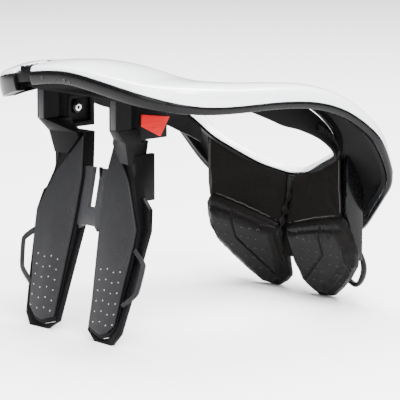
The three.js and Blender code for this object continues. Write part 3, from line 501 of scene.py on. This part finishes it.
def seen(pixel, tree):
    """Place and normal of what the photo shows at one of its pixels."""
    across, down = [(value - PHOTO_SIZE / 2) / PHOTO_FOCAL for value in pixel]
    spot, normal, _, _ = tree.ray_cast(EYE, (RIGHT * across - UP * down - BACK).normalized())
    if spot is None:
        raise RuntimeError(f"nothing lies behind pixel {pixel}")
    return spot, normal


def facing(tree, x, z, start=NECK_Y):
    """Place and normal of the surface that is seen when looking forward from a point."""
    return tree.ray_cast(Vector((x, start, z)), Vector((0, 1, 0)))[:2]


def standing_on(spot, normal):
    """Matrix that lifts a shape made on the XY plane onto a surface."""
    return Matrix.Translation(spot) @ normal.to_track_quat("Z", "Y").to_matrix().to_4x4()


def tube(shape, path, radius, sides=10, flat=1.0, twist=0.0):
    """Sweeps a round or flat ring along a path, with a turn at each step if it is twisted."""
    ring = bmesh.ops.create_circle(shape, cap_ends=True, segments=sides, radius=radius)["verts"]
    bmesh.ops.scale(shape, vec=(1, flat, 1), verts=ring)
    model = [v.co.copy() for v in ring]
    end = ring[0].link_faces[0]
    edges = list(end.edges)
    bmesh.ops.reverse_faces(shape, faces=[end])
    for step, spot in enumerate(path):
        before, after = path[max(step - 1, 0)], path[min(step + 1, len(path) - 1)]
        if step:
            made = bmesh.ops.extrude_edge_only(shape, edges=edges)["geom"]
            ring = sorted(
                (v for v in made if isinstance(v, bmesh.types.BMVert)),
                key=lambda v: min(range(sides), key=lambda i: (v.co - last[i]).length))
            edges = [e for e in made if isinstance(e, bmesh.types.BMEdge)]
        heading = (after - before).to_track_quat("Z", "Y").to_matrix().to_4x4()
        turn = Matrix.Translation(spot) @ heading @ Matrix.Rotation(twist * step, 4, "Z")
        for vert, rest in zip(ring, model):
            vert.co = turn @ rest
        last = [v.co.copy() for v in ring]
    bmesh.ops.contextual_create(shape, geom=edges)
    return shape


def inflate(made, cap):
    """Remeshes a closed shape and blows it up as stuffed cloth, up to a cap, held in front."""
    even = made.modifiers.new("even", "REMESH")
    even.mode = "VOXEL"
    even.voxel_size = sizes().voxel
    material = made.data.materials[0]
    baked(made)
    if not made.data.materials:
        made.data.materials.append(material)
    rest = [v.co.copy() for v in made.data.vertices]
    group = made.vertex_groups.new(name="held")
    group.add([v.index for v in made.data.vertices if v.normal.y > 0.3], 1.0, "REPLACE")
    cloth = made.modifiers.new("stuffing", "CLOTH")
    cloth.settings.vertex_group_mass = group.name
    cloth.settings.use_pressure = True
    cloth.settings.uniform_pressure_force = PRESSURE
    cloth.settings.effector_weights.gravity = 0
    cloth.settings.mass = CLOTH_MASS
    cloth.point_cache.frame_end = SWELL_FRAMES
    scene = bpy.context.scene
    for number in range(1, SWELL_FRAMES + 1):
        scene.frame_set(number)
    graph = bpy.context.evaluated_depsgraph_get()
    swollen = [v.co.copy() for v in made.evaluated_get(graph).data.vertices]
    made.modifiers.clear()
    scene.frame_set(1)
    for vert, start, end in zip(made.data.vertices, rest, swollen):
        move = end - start
        vert.co = start + move * min(1.0, cap / max(move.length, 1e-9))
    made.vertex_groups.clear()
    return made


def softened(made):
    """Smooths a remeshed piece and subdivides it once."""
    shape = bmesh.new()
    shape.from_mesh(made.data)
    bmesh.ops.smooth_vert(
        shape, verts=shape.verts, factor=0.5, use_axis_x=True, use_axis_y=True, use_axis_z=True)
    shape.to_mesh(made.data)
    shape.free()
    rounded(made, 1)
    return baked(made)


def from_run(spot, start, end):
    """How far a place lies from a straight run."""
    run = end - start
    share = max(0.0, min(1.0, (spot - start).dot(run) / run.length_squared))
    return (spot - start - run * share).length


def press(made, sign, line, depth, width):
    """Presses a groove, or raises a ridge if depth is below 0, along places in millimetres."""
    places = [Vector((sign * x * MM, z * MM)) for x, z in line]
    runs = list(zip(places, places[1:]))
    for vert in made.data.vertices:
        if vert.normal.y > 0.2:
            continue
        here = Vector((vert.co.x, vert.co.z))
        near = min(from_run(here, start, end) for start, end in runs)
        if near < 3 * width:
            vert.co.y += depth * math.exp(-(near / width) ** 2)


def hex_screw(shape, radius, depth, place, sides=6):
    """A screw head, a little narrower at its top, with a socket in it."""
    start = len(shape.verts)
    head = bmesh.ops.create_cone(
        shape, cap_ends=True, segments=sides, radius1=radius, radius2=radius * HEAD_TOP,
        depth=depth)
    top = max({f for v in head["verts"] for f in v.link_faces},
              key=lambda f: f.calc_center_median().z)
    bmesh.ops.inset_region(
        shape, faces=[top], thickness=radius * SOCKET_RIM, use_even_offset=True)
    bmesh.ops.inset_region(
        shape, faces=[top], thickness=radius * SOCKET_SLOPE, depth=-depth * SOCKET_DEPTH)
    shape.verts.ensure_lookup_table()
    bmesh.ops.transform(shape, matrix=place, verts=shape.verts[start:])


# Pieces


class BRACE_OT_finishes(bpy.types.Operator):
    """Makes the materials of the plastics, cloths and screws"""

    bl_idname = "brace.finishes"
    bl_label = "Finishes"

    def execute(self, context):
        make_finishes()
        return {"FINISHED"}


class BRACE_OT_collar(bpy.types.Operator):
    """Rounds the white shell, its black plate, the rim band, the neck walls and the beam"""

    bl_idname = "brace.collar"
    bl_label = "Collar"

    # Each lofted piece: its name, node, slot and edge radius in millimetres
    LOFTED = (
        ("collar_shell", "top_shell", "white_shell", 0.6),
        ("collar_underside", "chassis_plate", "black_plastic", 0.8),
        ("rim_trim", "rim_band", "satin_black", 0.5),
        ("neck_flank_right", "neck_wall_right", "black_plastic", 0.8),
        ("neck_flank_left", "neck_wall_left", "black_plastic", 0.8),
    )

    def execute(self, context):
        for name, source, slot, width in self.LOFTED:
            shape = shape_of(source)
            join_quads(shape)
            flatten_faces(shape, 0.2)
            round_edges(shape, width * MM, 55)
            rounded(piece(shape, name, slot, replaced=[source], smooth_angle=60), 2)
        moulding("rear_beam", "carrier_beam", "black_plastic", sizes().edge, 35)
        return {"FINISHED"}


class BRACE_OT_grips(bpy.types.Operator):
    """Cuts the grip strips into ribs"""

    bl_idname = "brace.grips"
    bl_label = "Grip strips"

    # Ribs: cuts between sections, shortest edge cut, side slope, height and smallest face
    CUTS = 5
    LONG = 4 * MM
    SLOPE = 0.2 * MM
    HEIGHT = 0.9 * MM
    SMALLEST_FACE = 0.1 * MM * MM

    def execute(self, context):
        for side, sign in SIDES:
            shape = shape_of(f"grip_strip_{side}")
            join_quads(shape)
            long_edges = [e for e in shape.edges if e.calc_length() > self.LONG
                          and abs((e.verts[0].co - e.verts[1].co).normalized().y) > 0.6]
            bmesh.ops.subdivide_edges(
                shape, edges=long_edges, cuts=self.CUTS, use_grid_fill=True)
            outer = [f for f in shape.faces
                     if f.normal.x * sign > 0.6 and f.calc_area() > self.SMALLEST_FACE]
            outer.sort(key=lambda f: f.calc_center_median().y)
            bmesh.ops.inset_individual(
                shape, faces=outer[::2], thickness=self.SLOPE, depth=self.HEIGHT,
                use_even_offset=True)
            piece(shape, f"grip_ribs_{side}", "rubber_edge", replaced=[f"grip_strip_{side}"])
        return {"FINISHED"}


class BRACE_OT_struts(bpy.types.Operator):
    """Rounds the struts' frames, faces, rubber edges, posts, ears and loops, and the bridge"""

    bl_idname = "brace.struts"
    bl_label = "Struts"

    # Each moulded piece of a strut: its node, name, slot and edge radius in millimetres
    MOULDED = (
        ("strut_frame", "strut_body", "black_plastic", 1.2),
        ("strut_face", "strut_skin", "grained_plastic", 0.8),
        ("strut_edge", "strut_rubber", "rubber_edge", 0.8),
        ("strut_post", "strut_upright", "grey_plastic", 0.8),
        ("strut_ear", "ear", "black_plastic", 0.6),
    )
    LOOP_SWELL = 0.5 * MM
    CHEEK = 0.9 * MM

    # Printed dots: columns and rows, the first one's place and the steps as (x, z) in millimetres
    DOTS = (4, 6)
    FIRST_DOT = (27, 15)
    DOT_STEP = (8, 8.2)
    DOT_STAGGER = 1.5
    DOT_DEPTH = 0.3 * MM

    def execute(self, context):
        moulding("strut_bridge", "strut_tie", "grey_plastic", 0.8 * MM)
        for side, _ in SIDES:
            for source, name, slot, width in self.MOULDED:
                moulding(f"{source}_{side}", f"{name}_{side}", slot, width * MM)
        for side, sign in SIDES:
            self.loop(side)
            self.dots(side, sign)
            overlay(f"strut_post_{side}", f"strut_cheeks_{side}", "black_plastic",
                    lambda face: abs(face.normal.x) > 0.7, self.CHEEK)
        return {"FINISHED"}

    def loop(self, side):
        """Strap loop at a strut's outer edge, a little thicker than its solid."""
        shape = shape_of(f"strut_loop_{side}")
        flatten_faces(shape)
        for vert in shape.verts:
            vert.co += vert.normal * self.LOOP_SWELL
        round_edges(shape, 0.4 * MM, 30)
        piece(shape, f"strap_loop_{side}", "grey_plastic", "grained_plastic",
              replaced=[f"strut_loop_{side}"])

    def dots(self, side, sign):
        """Printed dots in rows near the tip of a strut's face."""
        tree = solids_tree(f"strut_face_{side}")
        shape = bmesh.new()
        columns, rows = self.DOTS
        for row in range(rows):
            for column in range(columns):
                x = self.FIRST_DOT[0] + self.DOT_STEP[0] * column
                z = self.FIRST_DOT[1] + self.DOT_STEP[1] * row + self.DOT_STAGGER * (column % 2)
                spot, normal = facing(tree, sign * x * MM, z * MM, CAD_LOW.y - CLEAR)
                if spot is None:
                    continue
                made = bmesh.ops.create_cone(
                    shape, cap_ends=True, segments=12, radius1=sizes().dot,
                    radius2=sizes().dot * 0.8, depth=self.DOT_DEPTH)
                bmesh.ops.transform(
                    shape, matrix=standing_on(spot, normal), verts=made["verts"])
        piece(shape, f"strut_dots_{side}", "white_shell", "white_print")


class BRACE_OT_fittings(bpy.types.Operator):
    """Adds the screws, the lug on the bridge, the closure's body and its pin"""

    bl_idname = "brace.fittings"
    bl_label = "Fittings"

    # How far the pin is set down, the boss behind each clamping screw, and the depths of heads
    PIN_DROP = 4 * MM
    BOSS_RADIUS = 5.4 * MM
    BOSS_TOP_RADIUS = 4.8 * MM
    BOSS_BACK = 1.2 * MM
    HEAD_DEPTH = 3 * MM
    RIM_SCREW_DEPTH = 0.8 * MM

    # Size of the bridge's lug in millimetres
    LUG = (3, 2.4, 8)

    def execute(self, context):
        moulding("closure_housing", "closure_body", "black_plastic", 0.6 * MM)
        moulding("closure_pin", "closure_latch_pin", "satin_black", 0.3 * MM, lift=-self.PIN_DROP)
        for side, sign in SIDES:
            low, high = (Vector(corner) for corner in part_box(f"ear_screw_{side}"))
            middle = (low + high) / 2
            inward = Vector((-sign, 0, 0))
            self.boss(side, standing_on(middle - inward * self.BOSS_BACK, inward))
            shape = bmesh.new()
            hex_screw(shape, sizes().hex_head, self.HEAD_DEPTH, standing_on(middle, inward))
            round_edges(shape, 0.25 * MM, 40)
            piece(shape, f"clamp_screw_{side}", "screw_steel", replaced=[f"ear_screw_{side}"])
        solids = solids_tree(*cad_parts)
        self.rim_screws(solids)
        lug = seen(BRIDGE_LUG_PIXEL, solids)[0]
        block(self.LUG, lug, "bridge_lug", "black_plastic")
        return {"FINISHED"}

    def boss(self, side, place):
        """Round boss behind a clamping screw."""
        shape = bmesh.new()
        made = bmesh.ops.create_cone(
            shape, cap_ends=True, segments=32, radius1=self.BOSS_RADIUS,
            radius2=self.BOSS_TOP_RADIUS, depth=self.HEAD_DEPTH)
        bmesh.ops.transform(shape, matrix=place, verts=made["verts"])
        round_edges(shape, 0.5 * MM, 40)
        piece(shape, f"clamp_boss_{side}", "satin_black")

    def rim_screws(self, solids):
        """Small round screws where the photo shows them on the rim at the rear."""
        shape = bmesh.new()
        for pixel in RIM_SCREW_PIXELS:
            spot, normal = seen(pixel, solids)
            hex_screw(shape, sizes().rim_screw, self.RIM_SCREW_DEPTH, standing_on(spot, normal),
                      sides=16)
        piece(shape, "rim_screws", "screw_steel", "grey_plastic")


class BRACE_OT_tab(bpy.types.Operator):
    """Makes the red pull tab and its stitching"""

    bl_idname = "brace.tab"
    bl_label = "Pull tab"

    # Stitches: rows as shares of the tab's height; count, start and step as shares of its length
    ROWS = (0.398, 0.602)
    STITCHES = 9
    FIRST = 0.1
    STEP = 0.085
    HALF = Vector((0, 0.7, 0)) * MM
    THREAD = 0.22 * MM

    def execute(self, context):
        moulding("pull_tab", "tab_webbing", "red_cloth", 0.5 * MM)
        low, high = (Vector(corner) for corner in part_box("pull_tab"))
        size = high - low
        thread = bmesh.new()
        tree = solids_tree("pull_tab")
        for row in self.ROWS:
            for step in range(self.STITCHES):
                y = low.y + size.y * (self.FIRST + self.STEP * step)
                z = low.z + size.z * row
                spot = tree.ray_cast(Vector((high.x + CLEAR, y, z)), Vector((-1, 0, 0)))[0]
                if spot:
                    path = [spot - self.HALF, spot, spot + self.HALF]
                    tube(thread, path, self.THREAD, sides=6)
        piece(thread, "tab_stitches", "red_cloth")
        return {"FINISHED"}


class BRACE_OT_chest(bpy.types.Operator):
    """Rounds the chest plates and bends their strap loops from flat rod"""

    bl_idname = "brace.chest"
    bl_label = "Chest plates"

    # Path of a loop in millimetres, from its upper end outside to its lower end
    LOOP = (
        (79, 105, 50), (82.5, 107.4, 43), (80, 114, 30), (71, 118.1, 17.6), (66, 117.4, 13.6),
        (60, 116.4, 17.6), (56, 112, 22),
    )
    ROD = 3 * MM
    FLATNESS = 0.8

    def execute(self, context):
        for side, sign in SIDES:
            moulding(
                f"chest_plate_{side}", f"chest_shell_{side}", "satin_black", sizes().edge, 35)
            path = [Vector((sign * x, y, z)) * MM for x, y, z in self.LOOP]
            shape = tube(bmesh.new(), path, self.ROD, sides=12, flat=self.FLATNESS)
            rounded(piece(shape, f"chest_ring_{side}", "satin_black",
                          replaced=[f"chest_loop_{side}"], smooth_angle=80), 2)
        return {"FINISHED"}


class BRACE_OT_pads(bpy.types.Operator):
    """Stuffs the chest pads and presses their grooves, beads, marks and piping"""

    bl_idname = "brace.pads"
    bl_label = "Chest pads"

    # Lines on a pad's face as (x, z) in millimetres, from the middle outwards
    GROOVE = ((53.5, 66), (53, 42), (18.4, 13.5))
    BEADS = (
        ((6, 54), (6, 24)), ((9.4, 55), (9.4, 24)),
        ((80, 54), (76.5, 26)), ((83.6, 52), (80, 28)),
    )
    GROOVE_WIDTH = 0.95 * MM
    BEAD_WIDTH = 0.9 * MM
    BEAD_HEIGHT = 0.8 * MM

    # Steps inwards past the flat band: width, and share of the rise
    FACE_STEPS = ((1.2 * MM, 0.75), (3 * MM, 0.25))

    # Web between the pads: its size, the (x, z) place on a pad that sets it, and its depth
    WEB = (14, 2.4, 36)
    WEB_PLACE = (8, 50)
    WEB_DEPTH = 6 * MM

    # Piping: start and length along X in millimetres, steps, the heights in half millimetres
    # where the pad's edge is looked for, and how far it stands off that edge
    PIPING_FROM, PIPING_LENGTH = 8, 70
    PIPING_STEPS = 24
    SEARCH = range(170, 80, -1)
    PIPING_OFFSET = Vector((0, -2, 0.4)) * MM

    # Chevrons: columns and rows, then in millimetres the first place as (x, z), the step, the
    # shift of every second row, the room beside the groove and the line itself
    MARKS = (6, 5)
    FIRST_MARK = (24, 16)
    MARK_STEP = 9
    MARK_SHIFT = 4.5
    MARK_ROOM = 3
    MARK_LINE = ((-1.9, 0), (0, 1.3), (1.9, 0))
    MARK_RADIUS = 0.4 * MM

    # Row of small domes beside a pad's top inner corner: count, first place as (x, z) and step
    DOMES = 6
    FIRST_DOME = (9, 57)
    DOME_STEP = 2.6
    DOME_RADIUS = 0.6 * MM

    def execute(self, context):
        for side, sign in SIDES:
            pad = self.body(side)
            press(pad, sign, self.GROOVE, sizes().groove, self.GROOVE_WIDTH)
            for bead in self.BEADS:
                press(pad, sign, bead, -self.BEAD_HEIGHT, self.BEAD_WIDTH)
            pad.data.update()
            self.piping(side, sign)
            self.marks(side, sign, tree_of(pad))
        self.web()
        return {"FINISHED"}

    def body(self, side):
        """A pad with a flat band round its raised face, stuffed."""
        shape = shape_of(f"chest_pad_{side}")
        flatten_faces(shape)
        face = max((f for f in shape.faces if f.normal.y < -0.5), key=lambda f: f.calc_area())
        for inset, share in ((sizes().band, 0), *self.FACE_STEPS):
            bmesh.ops.inset_region(
                shape, faces=[face], thickness=inset, depth=sizes().pad_rise * share,
                use_even_offset=True)
        round_edges(shape, 0.6 * MM, 50)
        pad = piece(shape, f"pad_{side}", "dark_cloth", "pad_foam",
                    replaced=[f"chest_pad_{side}"], smooth_angle=180)
        inflate(pad, sizes().pad_swell)
        return softened(pad)

    def piping(self, side, sign):
        """Fine bead along the top edge of a pad."""
        tree = solids_tree(f"chest_pad_{side}")
        spots = []
        for step in range(self.PIPING_STEPS + 1):
            x = self.PIPING_FROM + self.PIPING_LENGTH * step / self.PIPING_STEPS
            for height in self.SEARCH:
                spot = facing(tree, sign * x * MM, height * 0.5 * MM)[0]
                if spot:
                    spots.append(spot + self.PIPING_OFFSET)
                    break
        shape = tube(bmesh.new(), spots, sizes().piping)
        piece(shape, f"pad_piping_{side}", "dark_cloth", "binding_cloth")

    def marks(self, side, sign, tree):
        """Small raised chevrons over a pad's face and a row of domes beside its top corner."""
        shape = bmesh.new()
        columns, rows = self.MARKS
        groove_x = self.GROOVE[1][0]
        for row in range(rows):
            for column in range(columns):
                x = self.FIRST_MARK[0] + self.MARK_STEP * column + self.MARK_SHIFT * (row % 2)
                z = self.FIRST_MARK[1] + self.MARK_STEP * row
                spots = [facing(tree, (sign * x + turn) * MM, (z + lift) * MM)[0]
                         for turn, lift in self.MARK_LINE]
                if None not in spots and abs(x - groove_x) >= self.MARK_ROOM:
                    tube(shape, spots, self.MARK_RADIUS, sides=6)
        for step in range(self.DOMES):
            x = self.FIRST_DOME[0] + self.DOME_STEP * step
            spot = facing(tree, sign * x * MM, self.FIRST_DOME[1] * MM)[0]
            if spot:
                dome = bmesh.ops.create_icosphere(
                    shape, subdivisions=2, radius=self.DOME_RADIUS)["verts"]
                bmesh.ops.translate(shape, vec=spot, verts=dome)
        piece(shape, f"pad_marks_{side}", "dark_cloth", "binding_cloth", smooth_angle=60)

    def web(self):
        """Dark web that joins the two pads behind their inner edges."""
        x, z = (value * MM for value in self.WEB_PLACE)
        face = facing(solids_tree("chest_pad_right"), x, z)[0]
        middle = Vector((0, face.y + self.WEB_DEPTH, z))
        block(self.WEB, middle, "pad_hinge", "dark_cloth", edge=0.8 * MM)


class BRACE_OT_liner(bpy.types.Operator):
    """Stuffs the neck liner and adds its bindings and the twisted seam"""

    bl_idname = "brace.liner"
    bl_label = "Neck liner"

    # How far the padding reaches past its solid, at the collar's lip and at the pads
    OVERLAP_TOP = Vector((0, -1.8, 4)) * MM
    OVERLAP_FOOT = Vector((0, -0.3, -2.5)) * MM

    # Binding: how far out it lies, its foot and height in millimetres, and its steps
    BINDING_X = 78.4
    BINDING_FOOT, BINDING_HEIGHT = 82, 44
    BINDING_STEPS = 23

    # Seam: steps, turn at each, lean of its top, how it stands off the liner, how far its foot
    # is lifted and how much shorter it is than its solid
    SEAM_STEPS = 35
    SEAM_TURN = math.radians(26)
    SEAM_LEAN = 7 * MM
    SEAM_PROUD = Vector((0, -0.9, 0)) * MM
    SEAM_LIFT = 0.7 * MM
    SEAM_SHORTER = 1.5 * MM

    # Tab at the seam's top: its size in millimetres, and its place from the seam's end
    TAB = (9, 1.6, 4)
    TAB_OFFSET = Vector((0, -2, 1)) * MM

    def execute(self, context):
        for side, sign in SIDES:
            shape = shape_of(f"neck_liner_{side}")
            flatten_faces(shape)
            low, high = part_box(f"neck_liner_{side}")
            middle = (low[2] + high[2]) / 2
            for vert in shape.verts:
                vert.co += self.OVERLAP_TOP if vert.co.z > middle else self.OVERLAP_FOOT
            liner = piece(shape, f"liner_{side}", "dark_cloth",
                          replaced=[f"neck_liner_{side}"], smooth_angle=180)
            inflate(liner, sizes().liner_swell)
            softened(liner)
            self.binding(side, sign, tree_of(liner))
        self.seam()
        return {"FINISHED"}

    def binding(self, side, sign, tree):
        """Strip that binds the outer edge of the liner."""
        spots = []
        for step in range(self.BINDING_STEPS + 1):
            z = self.BINDING_FOOT + self.BINDING_HEIGHT * step / self.BINDING_STEPS
            spot = facing(tree, sign * self.BINDING_X * MM, z * MM)[0]
            if spot:
                spots.append(spot)
        shape = tube(bmesh.new(), spots, sizes().binding, flat=0.7)
        piece(shape, f"liner_binding_{side}", "dark_cloth", "binding_cloth")

    def seam(self):
        """Twisted seam between the two halves of the liner, with the tab at its top."""
        tree = solids_tree("liner_seam", "neck_liner_right")
        low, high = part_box("liner_seam")
        spots = []
        for step in range(self.SEAM_STEPS + 1):
            share = step / self.SEAM_STEPS
            z = low[2] + (high[2] - low[2] - self.SEAM_SHORTER) * share + self.SEAM_LIFT
            spot = facing(tree, self.SEAM_LEAN * share ** 1.5, z)[0]
            if spot:
                spots.append(spot + self.SEAM_PROUD)
        shape = tube(
            bmesh.new(), spots, sizes().seam, sides=12, flat=0.55, twist=self.SEAM_TURN)
        piece(shape, "seam_twist", "dark_cloth", "black_plastic", replaced=["liner_seam"],
              smooth_angle=70)
        block(self.TAB, spots[-1] + self.TAB_OFFSET, "seam_tab", "dark_cloth", "black_plastic")


class BRACE_OT_stage(bpy.types.Operator):
    """Sets the pale floor, the soft lights and the photo's camera"""

    bl_idname = "brace.stage"
    bl_label = "Stage"

    # Soft lights: place in metres, side in metres and power in watts; then what they aim at
    LIGHTS = (
        ("key", (1.6, -0.6, 2.0), 1.6, 240),
        ("fill", (0.2, -2.2, 1.2), 1.8, 70),
        ("top", (-0.4, 0.6, 2.4), 2.2, 360),
    )
    AIM = Vector((0, 0, 0.1))
    SKY = (0.97, 0.98, 1.0, 1)
    SKY_STRENGTH = 0.35
    FLOOR_RADIUS = 6
    FLOOR_DRIFT = 0.985

    def execute(self, context):
        shape = bmesh.new()
        bmesh.ops.create_circle(shape, cap_ends=True, segments=96, radius=self.FLOOR_RADIUS)
        mesh = bpy.data.meshes.new("floor")
        shape.to_mesh(mesh)
        shape.free()
        floor = bpy.data.objects.new("floor", mesh)
        context.collection.objects.link(floor)
        mesh.materials.append(self.floor_finish())
        self.lights(context)
        self.camera(context)
        return {"FINISHED"}

    def floor_finish(self):
        material = bpy.data.materials.new("studio_floor")
        material.use_nodes = True
        tree = material.node_tree
        shader = tree.nodes["Principled BSDF"]
        cloud = node(tree, "TexNoise", {
            "Vector": node(tree, "TexCoord").outputs["Object"], "Scale": 3.0})
        pale = (*colours().floor, 1)
        shade = blend_colour(
            tree, cloud.outputs["Fac"], pale, tuple(v * self.FLOOR_DRIFT for v in pale))
        tree.links.new(shade, shader.inputs["Base Color"])
        shader.inputs["Roughness"].default_value = 0.6
        return material

    def lights(self, context):
        for name, place, side, power in self.LIGHTS:
            lamp = bpy.data.lights.new(name, "AREA")
            lamp.shape = "SQUARE"
            lamp.size = side
            lamp.energy = power
            made = bpy.data.objects.new(name, lamp)
            made.location = place
            made.rotation_euler = (self.AIM - Vector(place)).to_track_quat("-Z", "Y").to_euler()
            context.collection.objects.link(made)
        world = bpy.data.worlds.new("studio")
        context.scene.world = world
        world.use_nodes = True
        sky = world.node_tree.nodes["Background"]
        sky.inputs["Color"].default_value = self.SKY
        sky.inputs["Strength"].default_value = self.SKY_STRENGTH

    def camera(self, context):
        lens = bpy.data.cameras.new("camera")
        lens.sensor_width = SENSOR
        lens.lens = PHOTO_FOCAL * SENSOR / PHOTO_SIZE
        lens.clip_start, lens.clip_end = 0.1, 50
        made = bpy.data.objects.new("camera", lens)
        made.location = EYE
        made.rotation_euler = (-BACK).to_track_quat("-Z", "Y").to_euler()
        context.collection.objects.link(made)
        context.scene.camera = made


STEPS = (
    BRACE_OT_finishes, BRACE_OT_stage, BRACE_OT_collar, BRACE_OT_grips, BRACE_OT_struts,
    BRACE_OT_fittings, BRACE_OT_tab, BRACE_OT_chest, BRACE_OT_pads, BRACE_OT_liner,
)


class BRACE_PT_panel(bpy.types.Panel):
    """Lists the steps and the sizes of the brace"""

    bl_idname = "BRACE_PT_panel"
    bl_label = "Neck Brace"
    bl_space_type = "VIEW_3D"
    bl_region_type = "UI"
    bl_category = "Brace"

    def draw(self, context):
        for step in STEPS:
            self.layout.operator(step.bl_idname)
        for group in (context.scene.brace_sizes, context.scene.brace_colours):
            for key in group.__annotations__:
                self.layout.prop(group, key)


CLASSES = (BraceSizes, BraceColours, *STEPS, BRACE_PT_panel)


def register():
    for item in CLASSES:
        bpy.utils.register_class(item)
    bpy.types.Scene.brace_sizes = PointerProperty(type=BraceSizes)
    bpy.types.Scene.brace_colours = PointerProperty(type=BraceColours)


def unregister():
    del bpy.types.Scene.brace_colours
    del bpy.types.Scene.brace_sizes
    for item in reversed(CLASSES):
        bpy.utils.unregister_class(item)


def main():
    register()
    for step in STEPS:
        group, name = step.bl_idname.split(".")
        getattr(getattr(bpy.ops, group), name)()


if __name__ == "__main__":
    main()
